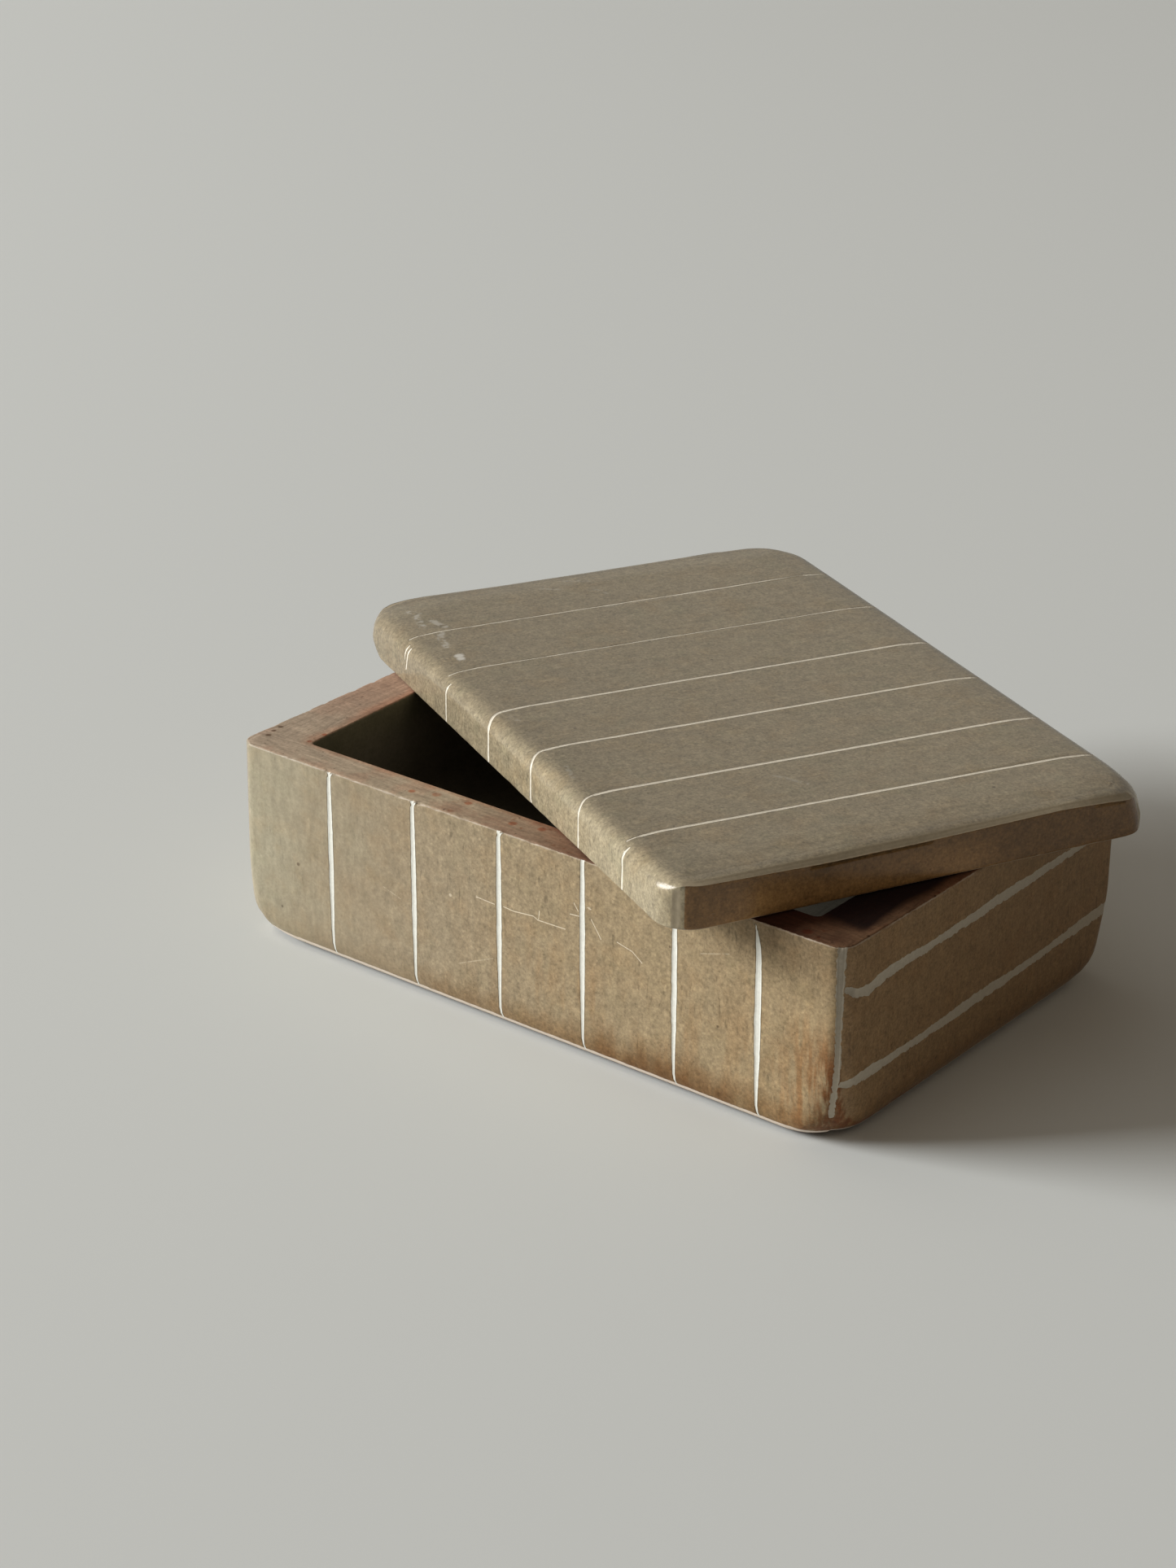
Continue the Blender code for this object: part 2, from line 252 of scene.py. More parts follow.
camera_data = bpy.data.cameras.new("camera")
camera_data.sensor_width = SENSOR
camera_data.lens = FOCAL_PIXELS / FRAME_PIXELS_HIGH * SENSOR
camera_data.clip_start = 0.01
camera = bpy.data.objects.new("camera", camera_data)
bpy.context.scene.collection.objects.link(camera)
camera_back = CAMERA_RIGHT.cross(CAMERA_UP).normalized()
camera_up = camera_back.cross(CAMERA_RIGHT).normalized()
camera.matrix_world = Matrix.Translation(CAMERA_PLACE) @ Matrix(
    (CAMERA_RIGHT.normalized(), camera_up, camera_back)).transposed().to_4x4()
bpy.context.scene.camera = camera
print(f"lens {camera_data.lens:.1f} mm, {CAMERA_PLACE.length:.3f} m from the box")

# %% [markdown]
# ## Floor and light
# The box stands in the soft light of one window at its left, low and some metres away. A large
# lamp does that here. The room fills the shade: a dim warm world stands for its dark side, and a
# large dim lamp high at the left for the pale wall round the window. A pale floor keeps the
# shadow. The pale background is only what the camera and reflections see, so it adds no light.

# %% Stage
FLOOR_REACH = 3.0
FLOOR_COLOUR = (0.710, 0.752, 0.757)
BACKGROUND_COLOUR = (0.40, 0.402, 0.376)
FILL_COLOUR = (0.160, 0.130, 0.099)
WINDOW_TOWARDS = Vector((-0.81, -0.585, 0.41)).normalized()
WINDOW_DISTANCE = 5.5
WINDOW_SIZE = (2.6, 2.0)
WINDOW_WATTS = 392
WINDOW_COLOUR = (1.0, 0.985, 0.96)
WALL_TOWARDS = Vector((-0.42, -0.12, 0.90)).normalized()
WALL_DISTANCE = 2.5
WALL_SIZE = (2.4, 2.4)
WALL_WATTS = 5
WALL_COLOUR = (1.0, 0.96, 0.90)


def make_floor():
    """A plain pale surface."""
    mesh = bpy.data.meshes.new("floor")
    reach = FLOOR_REACH
    mesh.from_pydata([(-reach, -reach, 0), (reach, -reach, 0), (reach, reach, 0), (-reach, reach, 0)],
                     [], [(0, 1, 2, 3)])
    material = bpy.data.materials.new("pale floor")
    material.use_nodes = True
    shader = material.node_tree.nodes["Principled BSDF"]
    shader.inputs["Base Color"].default_value = (*FLOOR_COLOUR, 1)
    shader.inputs["Roughness"].default_value = 0.9
    shader.inputs["Specular IOR Level"].default_value = 0.2
    mesh.materials.append(material)
    floor = bpy.data.objects.new("floor", mesh)
    bpy.context.scene.collection.objects.link(floor)
    return floor


def make_lamp(name, towards, distance, size, watts, colour):
    """A soft flat lamp that faces the box."""
    data = bpy.data.lights.new(name, 'AREA')
    data.shape = 'RECTANGLE'
    data.size, data.size_y = size
    data.energy = watts
    data.color = colour
    lamp = bpy.data.objects.new(name, data)
    lamp.location = towards * distance
    lamp.rotation_euler = towards.to_track_quat('Z', 'Y').to_euler()
    bpy.context.scene.collection.objects.link(lamp)
    return lamp


def make_world():
    """Dim warm light all round, behind a pale background."""
    world = bpy.data.worlds.new("room")
    world.use_nodes = True
    world.node_tree.nodes.clear()
    graph = Graph(world.node_tree)
    seen = graph.add("ShaderNodeLightPath", output="Is Camera Ray")
    mirrored = graph.add("ShaderNodeLightPath", output="Is Glossy Ray")
    colour = graph.mix(seen.most(mirrored), FILL_COLOUR, BACKGROUND_COLOUR)
    light = graph.add("ShaderNodeBackground", inputs={"Color": colour})
    graph.add("ShaderNodeOutputWorld", inputs={"Surface": light})
    bpy.context.scene.world = world


make_floor()
make_lamp("window", WINDOW_TOWARDS, WINDOW_DISTANCE, WINDOW_SIZE, WINDOW_WATTS, WINDOW_COLOUR)
make_lamp("wall", WALL_TOWARDS, WALL_DISTANCE, WALL_SIZE, WALL_WATTS, WALL_COLOUR)
make_world()
bpy.context.scene.view_settings.view_transform = 'Standard'
print("stage ready")

# %% [markdown]
# ## A skin of rings
# Both pieces are slabs with rounded corners, so each skin is a stack of closed rings, one above
# the other. A ring is an outline drawn in by an inset, with its own corner radius. A scratched
# line is only a millimetre wide, so the rings need points close together where a line crosses
# them, and few elsewhere. The function stations places them: evenly and far apart, but close
# together round each line.

# %% Stations along a side
QUARTER_TURN = math.pi / 2
SHARPEST_RADIUS = 0.0005


def stations(first, last, places, reach, fine_step, coarse_step):
    """Numbers from first to last: close together within reach of each place, far apart elsewhere."""
    edges = [first]
    for place in places:
        edges += [place - reach, place + reach]
    edges.append(last)
    marks = []
    for number, (start, end) in enumerate(zip(edges, edges[1:])):
        count = max(1, round((end - start) / (fine_step if number % 2 else coarse_step)))
        marks += [start + (end - start) * index / count for index in range(count)]
    return marks + [last]


print("for example", [round(mark, 2) for mark in stations(0, 10, [4], 0.6, 0.3, 2)])

# %% [markdown]
# ## One ring
# A ring goes anticlockwise from the middle of the front left corner, side by side. Each side
# starts at the middle of one corner's arc and stops just before the middle of the next, so that
# the four sides later make the four borders of a grid.
#
# Points that a line follows must stand exactly above each other in all rings: fixed marks do
# that. In the hollow they only need to be spread evenly, so there they are shares of the side.

# %% Rings
BRIDGE_STEPS = 4              # steps between a corner's arc and the first fixed mark


class Outline:
    """A four-sided plan and the marks along its sides, from which rings are made.

    side_marks are distances from each side's first corner, and half_arc holds shares of half a
    corner's turn, from its middle. Where spread_like gives another outline and its corner
    radii, points are spread along the sides as they are there, and don't keep fixed places.
    """

    def __init__(self, corners, side_marks, half_arc, spread_like=None):
        self.corners = corners
        self.side_marks = side_marks
        self.half_arc = half_arc
        self.spread_like = spread_like

    def arc_point(self, index, radii, inset, share):
        """A point at a share of the way round a corner. An inset keeps the corner's centre."""
        corner = self.corners[index % 4]
        arriving = (corner - self.corners[index % 4 - 1]).normalized()
        leaving = (self.corners[(index + 1) % 4] - corner).normalized()
        inward_before = Vector((-arriving.y, arriving.x))
        inward_after = Vector((-leaving.y, leaving.x))
        kept = max(radii[index % 4], inset + SHARPEST_RADIUS)
        centre = corner + (inward_before + inward_after) * (kept / (1 + inward_before.dot(inward_after)))
        turn = math.atan2(arriving.x * leaving.y - arriving.y * leaving.x, arriving.dot(leaving))
        angle = math.atan2(-inward_before.y, -inward_before.x) + turn * share
        return centre + Vector((math.cos(angle), math.sin(angle))) * (kept - inset)

    def straight(self, index, radii, inset, slide=0.0):
        """Points along a side, from one corner's arc to the next one's."""
        start = self.arc_point(index, radii, inset, 1)
        end = self.arc_point(index + 1, radii, inset, 0)
        if self.spread_like:
            other, other_radii = self.spread_like
            model = other.straight(index, other_radii, 0)
            whole = (model[-1] - model[0]).length
            return [start.lerp(end, (point - model[0]).length / whole) for point in model]
        corner = self.corners[index % 4]
        along = (self.corners[(index + 1) % 4] - corner).normalized()
        inward = Vector((-along.y, along.x)) * inset
        fixed = [corner + along * (mark + slide) + inward for mark in self.side_marks[index]]
        lead_in = [start.lerp(fixed[0], step / BRIDGE_STEPS) for step in range(BRIDGE_STEPS)]
        lead_out = [fixed[-1].lerp(end, step / BRIDGE_STEPS) for step in range(1, BRIDGE_STEPS + 1)]
        return lead_in + fixed + lead_out

    def side(self, index, radii, inset, slide=0.0):
        """One side's points, from the middle of its first corner to before the next middle."""
        leaving = [self.arc_point(index, radii, inset, 0.5 + share / 2) for share in self.half_arc[:-1]]
        arriving = [self.arc_point(index + 1, radii, inset, 0.5 - share / 2)
                    for share in self.half_arc[::-1][1:-1]]
        return leaving + self.straight(index, radii, inset, slide) + arriving

    def ring(self, radii, inset, height, slide=0.0):
        """A whole ring, as four sides of points in space. Only the front's marks slide."""
        return [[point.to_3d() + Vector((0, 0, height))
                 for point in self.side(index, radii, inset, 0 if index else slide)]
                for index in range(4)]


def quadrilateral(length, width, end_skew, back_skew):
    """The four corners of a hand-cut rectangle, anticlockwise from the front left."""
    return [Vector((-length / 2, -width / 2)), Vector((length / 2, -width / 2)),
            Vector((length / 2 - end_skew, width / 2)), Vector((-length / 2, width / 2 - back_skew))]


print("rings ready")

# %% [markdown]
# ## From rings to a closed skin
# Three small builders join the rings. Rings with as many points each are joined by a band of
# four-sided faces. A ring with many points meets one with fewer through a zip of triangles. And
# a flat end is filled by a grid whose four borders are the ring's own sides, so that the columns
# of the front run on across the top to the back, as the lines on the lid do.
#
# Each point also carries what it is, for the finish to read later: how far it lies past the
# rim's outer edge, and how far down the hollow's wall.

# %% Skin builder
class Skin:
    """A mesh that grows ring by ring, with values on its points."""

    def __init__(self, name, value_names):
        self.name = name
        self.points = []
        self.faces = []
        self.values = {value_name: [] for value_name in value_names}

    def add_points(self, points, **values):
        """Add points that share the given values, and return their numbers."""
        first = len(self.points)
        self.points += points
        for name, kept in self.values.items():
            kept += [values.get(name, 0.0)] * len(points)
        return list(range(first, len(self.points)))

    def add_ring(self, sides, **values):
        """Add a ring's four sides, and return their point numbers side by side."""
        return [self.add_points(side, **values) for side in sides]

    def band(self, lower, upper):
        """Four-sided faces between two rings of as many points."""
        below = sum(lower, [])
        above = sum(upper, [])
        for index in range(len(below)):
            following = (index + 1) % len(below)
            self.faces.append((below[index], below[following], above[following], above[index]))

    def zip(self, lower, upper):
        """Triangles between two rings with different numbers of points, side by side."""
        for index in range(4):
            below = lower[index] + [lower[(index + 1) % 4][0]]
            above = upper[index] + [upper[(index + 1) % 4][0]]
            at_below, at_above = 0, 0
            while at_below < len(below) - 1 or at_above < len(above) - 1:
                next_below = (at_below + 1) / (len(below) - 1) if at_below < len(below) - 1 else 2
                next_above = (at_above + 1) / (len(above) - 1) if at_above < len(above) - 1 else 2
                if next_below <= next_above:
                    self.faces.append((below[at_below], below[at_below + 1], above[at_above]))
                    at_below += 1
                else:
                    self.faces.append((below[at_below], above[at_above + 1], above[at_above]))
                    at_above += 1

    def fill_below(self, ring):
        """One flat face inside a ring, seen from below."""
        self.faces.append(tuple(reversed(sum(ring, []))))

    def fill_grid(self, ring, **values):
        """A grid inside a ring whose opposite sides have as many points."""
        front = ring[0] + [ring[1][0]]
        back = (ring[2] + [ring[3][0]])[::-1]
        left = (ring[3] + [ring[0][0]])[::-1]
        right = ring[1] + [ring[2][0]]
        across = self._shares(front, back)
        deep = self._shares(left, right)
        rows = [front]
        for row in range(1, len(left) - 1):
            inner = [self._blend(front, back, left, right, column, row, across[column], deep[row])
                     for column in range(1, len(front) - 1)]
            rows.append([left[row]] + self.add_points(inner, **values) + [right[row]])
        rows.append(back)
        for near, far in zip(rows, rows[1:]):
            for column in range(len(near) - 1):
                self.faces.append((near[column], near[column + 1], far[column + 1], far[column]))

    def _shares(self, first, second):
        """How far along its border each column or row stands, as a mean of two borders."""
        shares = []
        for border in (first, second):
            lengths = [0.0]
            for start, end in zip(border, border[1:]):
                lengths.append(lengths[-1] + (self.points[end] - self.points[start]).length)
            shares.append([length / lengths[-1] for length in lengths])
        return [(one + other) / 2 for one, other in zip(*shares)]

    def _blend(self, front, back, left, right, column, row, u, v):
        """A point inside four borders, drawn from all of them."""
        at = self.points
        edges = (at[front[column]] * (1 - v) + at[back[column]] * v
                 + at[left[row]] * (1 - u) + at[right[row]] * u)
        corners = (at[front[0]] * ((1 - u) * (1 - v)) + at[front[-1]] * (u * (1 - v))
                   + at[back[0]] * ((1 - u) * v) + at[back[-1]] * (u * v))
        return edges - corners

    def finished(self):
        """The mesh as an object in the scene, shaded smooth."""
        mesh = bpy.data.meshes.new(self.name)
        mesh.from_pydata(self.points, [], self.faces)
        for name, kept in self.values.items():
            attribute = mesh.attributes.new(name, 'FLOAT', 'POINT')
            attribute.data.foreach_set("value", kept)
        mesh.shade_smooth()
        piece = bpy.data.objects.new(self.name, mesh)
        bpy.context.scene.collection.objects.link(piece)
        return piece


print("skin builder ready")

# %% [markdown]
# ## The block's skin
# The block is one stone. Its outside rises from a flat underside over a worn foot to a rim. The
# foot turns under almost sharply along the front, and more softly at the ends and corners. The
# corners are tight at the rim and rounder below. The hollow goes down from the rim with slightly
# leaning walls. The lines along the ends slope a little, as a hand scratched them, so the rings
# between foot and rim slope with them.

# %% Where the block's lines are
STRIPE_SHARES = (0.1680, 0.3155, 0.4605, 0.5980, 0.7435, 0.8717)   # of the block's length
STRIPE_LEAN = 0.0005          # a stripe ends this much further right at the foot than at the rim
STRIPE_SHIFTS = (-0.0003, -0.0003, -0.0001, 0, 0.0002, 0.0003)     # each stripe, off its even place
END_LINE_HEIGHTS = (0.0150, 0.0337)
END_LINE_RISE = 0.0018        # from the front to the back, along an end
CORNER_LINE_TURN = -0.06      # the corner's line lies this share of the turn towards the end face
HALF_ARC_LINE = 0.62          # share of half a corner that the corner's line may take
HALF_ARC = stations(0, 1, [HALF_ARC_LINE / 2], HALF_ARC_LINE / 2, 0.035, 0.13)
HALF_ARC = sorted(set(round(share, 5) for share in HALF_ARC))
BLOCK_MARGIN = 0.0125         # no fixed mark stands closer to a corner than this
STRIPE_REACH = 0.0014         # the marks are close together this far to both sides of a stripe
STRIPE_STEP = 0.00014         # from mark to mark, there
FRONT_STEP = 0.0009           # elsewhere along the front and the back
END_STEP = 0.0006             # and along an end


def mirrored(marks, length):
    """The same marks, counted from the other end of a side."""
    return [length - mark for mark in reversed(marks)]


block_plan = quadrilateral(BLOCK_LENGTH, BLOCK_WIDTH, 0, 0)
front_marks = stations(BLOCK_MARGIN, BLOCK_LENGTH - BLOCK_MARGIN,
                       [share * BLOCK_LENGTH for share in STRIPE_SHARES],
                       STRIPE_REACH, STRIPE_STEP, FRONT_STEP)
back_marks = mirrored(front_marks, BLOCK_LENGTH)
end_marks = stations(BLOCK_MARGIN, BLOCK_WIDTH - BLOCK_MARGIN, [], 0, 0, END_STEP)
block_outline = Outline(block_plan, [front_marks, end_marks, back_marks, end_marks], HALF_ARC)
print(len(front_marks), "marks along the front,", len(end_marks), "along an end")

# %% Block skin
BASE_STEPS = 8
FLAT_INSET = 1.4              # the underside's one flat face starts this many rounds further in
RIM_STEPS = 4
WALL_STEPS = 10
FLOOR_STEPS = 7
END_LINE_REACH = 0.0023       # rings are close together this far above and below an end line
FINE_STEP_UP = 0.00024        # from ring to ring, there
COARSE_STEP_UP = 0.0011       # elsewhere
WORN_STEP_UP = 0.0003         # and at the worn rim
FIRM_SPAN = (0.004, 0.013)    # the foot grows firmer between these distances from a corner
LEAN_START = 0.007            # the rings start to slope above the foot here
LEAN_FULL = 0.012
LEAN_END = 0.0370
LEAN_OVER = 0.0405
RIM_WEAR_REACH = 0.0016       # the rim's edge is chipped and rubbed this far down and in


def ramp(value, low, high):
    """0 at low, 1 at high, straight between."""
    return min(max((value - low) / (high - low), 0), 1)


def eased(share):
    """A share from 0 to 1 that starts and ends softly."""
    return share * share * (3 - 2 * share)


def corner_radii_at(height):
    """How round the block's upright edges are at a height."""
    rise = min(height / BLOCK_FOOT_HEIGHT, 1)
    low = 1 - min(height / BLOCK_HEEL_HEIGHT, 1)
    return [foot + (rim - foot) * eased(rise) + heel * low * low
            for foot, rim, heel in zip(BLOCK_FOOT_RADII, BLOCK_CORNER_RADII, BLOCK_HEEL_WEAR)]


def stripe_slide(height):
    """How far right of its middle place a stripe stands at a height."""
    return STRIPE_LEAN * (0.5 - height / BLOCK_HEIGHT)


def sloped(point):
    """The rings slope with the lines along the ends, but not at the foot or the rim."""
    lean = ramp(point.z, LEAN_START, LEAN_FULL) * (1 - ramp(point.z, LEAN_END, LEAN_OVER))
    return point + Vector((0, 0, END_LINE_RISE * lean * point.y / BLOCK_WIDTH))


def turned_under(turn, firmness):
    """Inset and height on the rounded foot, after a turn from its upper end, in radians."""
    power = 2 / firmness
    return (BLOCK_BASE_ROUND * (1 - max(math.cos(turn), 0) ** power),
            BLOCK_BASE_ROUND * (1 - max(math.sin(turn), 0) ** power))


def firmer(point, side, inset, height):
    """A point of the plain round foot, moved out and down to where its face turns under sharply.

    At the corners, where most has worn away, it stays on the plain round.
    """
    if height > BLOCK_BASE_ROUND or inset > BLOCK_BASE_ROUND:
        return point
    along, half = (point.x, BLOCK_LENGTH / 2) if side % 2 == 0 else (point.y, BLOCK_WIDTH / 2)
    firmness = 2 + (BLOCK_FIRMNESS[side] - 2) * ramp(half - abs(along), *FIRM_SPAN)
    turn = math.asin(1 - height / BLOCK_BASE_ROUND)
    firm_inset, firm_height = turned_under(turn, firmness)
    outward = Vector(((0, -1, 0), (1, 0, 0), (0, 1, 0), (-1, 0, 0))[side])
    return Vector((point.x, point.y, firm_height)) + outward * (inset - firm_inset)


def add_outside_ring(skin, inset, height, carving):
    """One ring of the block's outside."""
    level = block_outline.ring(corner_radii_at(height), inset, height, stripe_slide(height))
    level = [[firmer(point, side, inset, height) for point in points]
             for side, points in enumerate(level)]
    reach = height - BLOCK_HEIGHT + (inset if height > BLOCK_FOOT_HEIGHT else 0)
    return skin.add_ring([[sloped(point) for point in side] for side in level],
                         rim_reach=reach, hollow_reach=-FRONT_WALL, carving=carving,
                         wear=1 - ramp(abs(reach), 0, RIM_WEAR_REACH))


def add_block_outside(skin):
    """Rings from the underside up to the rim's outer edge. Returns the first and the last."""
    rings = [add_outside_ring(skin, BLOCK_BASE_ROUND * FLAT_INSET, 0, 0)]
    for step in range(BASE_STEPS + 1):
        angle = QUARTER_TURN * step / BASE_STEPS
        rings.append(add_outside_ring(skin, BLOCK_BASE_ROUND * (1 - math.sin(angle)),
                                      BLOCK_BASE_ROUND * (1 - math.cos(angle)), step / BASE_STEPS))
    heights = stations(BLOCK_BASE_ROUND, BLOCK_HEIGHT - RIM_WEAR_REACH, END_LINE_HEIGHTS,
                       END_LINE_REACH, FINE_STEP_UP, COARSE_STEP_UP)
    worn = stations(BLOCK_HEIGHT - RIM_WEAR_REACH, BLOCK_HEIGHT - RIM_OUTER_ROUND, [], 0, 0, WORN_STEP_UP)
    for height in heights[1:] + worn[1:]:
        rings.append(add_outside_ring(skin, 0, height, 1))
    for step in range(1, RIM_STEPS + 1):
        angle = QUARTER_TURN * step / RIM_STEPS
        rings.append(add_outside_ring(skin, RIM_OUTER_ROUND * (1 - math.cos(angle)),
                                      BLOCK_HEIGHT - RIM_OUTER_ROUND * (1 - math.sin(angle)), 1))
    for lower, upper in zip(rings, rings[1:]):
        skin.band(lower, upper)
    return rings[0], rings[-1]


print("outside of the block ready")

# %% The rim and the hollow
RIM_ROWS = 9
RIM_ROW_SPREAD = 1.3          # above 1, the rows are closer together at the outer edge
COARSE_STEP = 0.0010
COARSE_HALF_ARC = (0, 0.25, 0.5, 0.75, 1)
HOLLOW_RADII = (HOLLOW_CORNER_RADIUS,) * 4

hollow_plan = [corner + Vector(walls) for corner, walls in zip(block_plan, (
    (LEFT_WALL_IN_FRONT, FRONT_WALL), (-RIGHT_WALL, FRONT_WALL),
    (-RIGHT_WALL, -FRONT_WALL), (LEFT_WALL_AT_BACK, -FRONT_WALL)))]
coarse_marks = [stations(BLOCK_MARGIN, length - BLOCK_MARGIN, [], 0, 0, COARSE_STEP)
                for length in (BLOCK_LENGTH, BLOCK_WIDTH, BLOCK_LENGTH, BLOCK_WIDTH)]
coarse_outline = Outline(block_plan, coarse_marks, COARSE_HALF_ARC)
hollow_outline = Outline(hollow_plan, None, COARSE_HALF_ARC, (coarse_outline, BLOCK_CORNER_RADII))


def hollow_ring(skin, inset, drop, reach, carving):
    """One ring of the hollow's wall or floor."""
    ring = hollow_outline.ring(HOLLOW_RADII, inset, BLOCK_HEIGHT - drop)
    return skin.add_ring(ring, rim_reach=FRONT_WALL, hollow_reach=reach, carving=carving)


def add_rim_and_hollow(skin, outer_ring):
    """From the rim's outer edge across its top and down to the hollow's floor."""
    edge = coarse_outline.ring(BLOCK_CORNER_RADII, RIM_OUTER_ROUND, BLOCK_HEIGHT)
    mouth = hollow_outline.ring(HOLLOW_RADII, -RIM_INNER_ROUND, BLOCK_HEIGHT)
    rings = []
    for row in range(1, RIM_ROWS + 1):
        share = (row / RIM_ROWS) ** RIM_ROW_SPREAD
        sides = [[start.lerp(end, share) for start, end in zip(outer, inner)]
                 for outer, inner in zip(edge, mouth)]
        reach = RIM_OUTER_ROUND + (FRONT_WALL - RIM_OUTER_ROUND) * share
        rings.append(skin.add_ring(sides, rim_reach=reach, hollow_reach=reach - FRONT_WALL - RIM_INNER_ROUND,
                                   carving=0.3, wear=1 - ramp(reach, 0, RIM_WEAR_REACH)))
    for step in range(1, RIM_STEPS + 1):
        angle = QUARTER_TURN * step / RIM_STEPS
        inset = -RIM_INNER_ROUND * (1 - math.sin(angle))
        drop = RIM_INNER_ROUND * (1 - math.cos(angle))
        rings.append(hollow_ring(skin, inset, drop, inset + drop, 0.4))
    wall_height = HOLLOW_DEPTH - HOLLOW_FLOOR_ROUND - RIM_INNER_ROUND
    for step in range(1, WALL_STEPS + 1):
        share = step / WALL_STEPS
        drop = RIM_INNER_ROUND + wall_height * share
        rings.append(hollow_ring(skin, HOLLOW_DRAFT * share, drop, drop, 1))
    for step in range(1, FLOOR_STEPS + 1):
        angle = QUARTER_TURN * step / FLOOR_STEPS
        inset = HOLLOW_DRAFT + HOLLOW_FLOOR_ROUND * (1 - math.cos(angle))
        drop = HOLLOW_DEPTH - HOLLOW_FLOOR_ROUND * (1 - math.sin(angle))
        rings.append(hollow_ring(skin, inset, drop, drop + inset, 1))
    skin.zip(outer_ring, rings[0])
    for lower, upper in zip(rings, rings[1:]):
        skin.band(lower, upper)
    skin.fill_grid(rings[-1], rim_reach=FRONT_WALL, hollow_reach=HOLLOW_DEPTH + FRONT_WALL, carving=1)


block_skin = Skin("stone_block", ("rim_reach", "hollow_reach", "carving", "wear"))
block_foot, block_rim = add_block_outside(block_skin)
block_skin.fill_below(block_foot)
add_rim_and_hollow(block_skin, block_rim)
block = block_skin.finished()
print(len(block.data.vertices), "points and", len(block.data.polygons), "faces on the block")

# %% [markdown]
# ## The lid's skin
# The lid is a slab with a soft, rounded top edge, flat beneath. Its lines run across the top and
# down both long sides, so the marks on its front and back are close together at each line, and a
# grid carries them over the top.

# %% Lid skin
LID_LINE_SHARES = (0.1493, 0.2902, 0.4370, 0.5721, 0.7214, 0.8520)   # of the lid's length
LID_SIDE_SHIFT = 0.0034       # down the front side, a line stands this much further right
LID_SIDE_STEPS = 8
LID_EDGE_STEPS = 20
LID_MARGIN = 0.0145           # no fixed mark stands closer to a corner than this
LID_LINE_REACH = 0.0015       # the marks on the lid are spread as those on the block
LID_LINE_STEP = 0.00015
LID_FRONT_STEP = 0.0012
LID_END_STEP = 0.0009
LID_HALF_ARC = (0, 0.06, 0.12, 0.18, 0.24, 0.32, 0.4, 0.5, 0.6, 0.7, 0.8, 0.9, 1)
WORN_UNDER = 0.0050           # what wear adds to the corner's radius in front at the left, below
WORN_UNDER_HEIGHT = 0.0045
WORN_OVER = 0.0034            # and at the back right corner, above
DROOPS = ((0, 0.0016, 0.0010), (2, 0.0010, 0.0013))
# At two corners wear lowers the top, and moves its sides inwards, by this much.
DROOP_SPAN = (0.002, 0.017)   # both less and less between these distances from the corner
ARRIS_SPAN = (0.0008, 0.0050)            # the sharp edge's profile fades between these distances from an end
END_ROLL = 2.7                # how fast the top edge of an end flattens out above its sharp edge
LID_SHARP_FROM = math.radians(50)        # an edge that turns by more than this is shaded sharp

lid_plan = quadrilateral(LID_LENGTH, LID_WIDTH, LID_END_SKEW, LID_BACK_SKEW)
lid_front_marks = stations(LID_MARGIN, LID_LENGTH - LID_MARGIN,
                           [share * LID_LENGTH for share in LID_LINE_SHARES],
                           LID_LINE_REACH, LID_LINE_STEP, LID_FRONT_STEP)
lid_back_marks = mirrored(lid_front_marks, LID_LENGTH - LID_END_SKEW)
lid_end_marks = stations(LID_MARGIN, LID_WIDTH - LID_MARGIN - LID_BACK_SKEW, [], 0, 0, LID_END_STEP)
lid_outline = Outline(lid_plan, [lid_front_marks, lid_end_marks, lid_back_marks, lid_end_marks],
                      LID_HALF_ARC)


def lid_radii(height, over):
    """The lid's corner radii: rounder near the underside in front at the left, and over the top
    at the right, where over is the share of the way over the edge."""
    left, near, far, back = LID_CORNER_RADII
    low = 1 - ramp(height, 0, WORN_UNDER_HEIGHT)
    return left + WORN_UNDER * low * low, near, far + WORN_OVER * over, back


def gap_to_end(point):
    """How far inside the nearer end a point lies."""
    across = point.y / LID_WIDTH + 0.5
    return LID_LENGTH / 2 - abs(point.x) - (LID_END_SKEW * across if point.x > 0 else 0)


def arris_height(across):
    """How high the sharp edge of an end is, at a place across the lid."""
    share = min(max(across / LID_WIDTH + 0.5, 0), 1)
    for (first, low), (last, high) in zip(LID_ARRIS, LID_ARRIS[1:]):
        if share <= last:
            return low + (high - low) * (share - first) / (last - first)
    return LID_ARRIS[-1][1]


def end_height(across, inset, height):
    """The height on an end where a long side has this inset and height."""
    start, arris = LID_THICKNESS - LID_EDGE_DOWN, arris_height(across)
    if height <= start:
        return height * arris / start
    top = LID_THICKNESS - LID_SHOULDER_DROP
    return arris + (top - arris) * (1 - max(1 - inset / LID_EDGE_IN, 0) ** END_ROLL)


def with_arris(side, inset, height):
    """Points of a ring, raised on the ends to the sharp edge's profile."""
    raised = []
    for point in side:
        share = 1 - ramp(gap_to_end(point) - inset, *ARRIS_SPAN)
        rise = end_height(point.y, inset, height) - height
        raised.append(Vector((point.x, point.y, height + rise * eased(share))))
    return raised


def lid_ring(inset, height, slide, over=0.0):
    """One ring of the lid."""
    ring = lid_outline.ring(lid_radii(height, over), inset, height, slide)
    return [with_arris(side, inset, height) for side in ring]


def lid_slide(share):
    """How far right a line on the front side stands, at a share of the way over the top edge."""
    return LID_SIDE_SHIFT * (1 - eased(share))


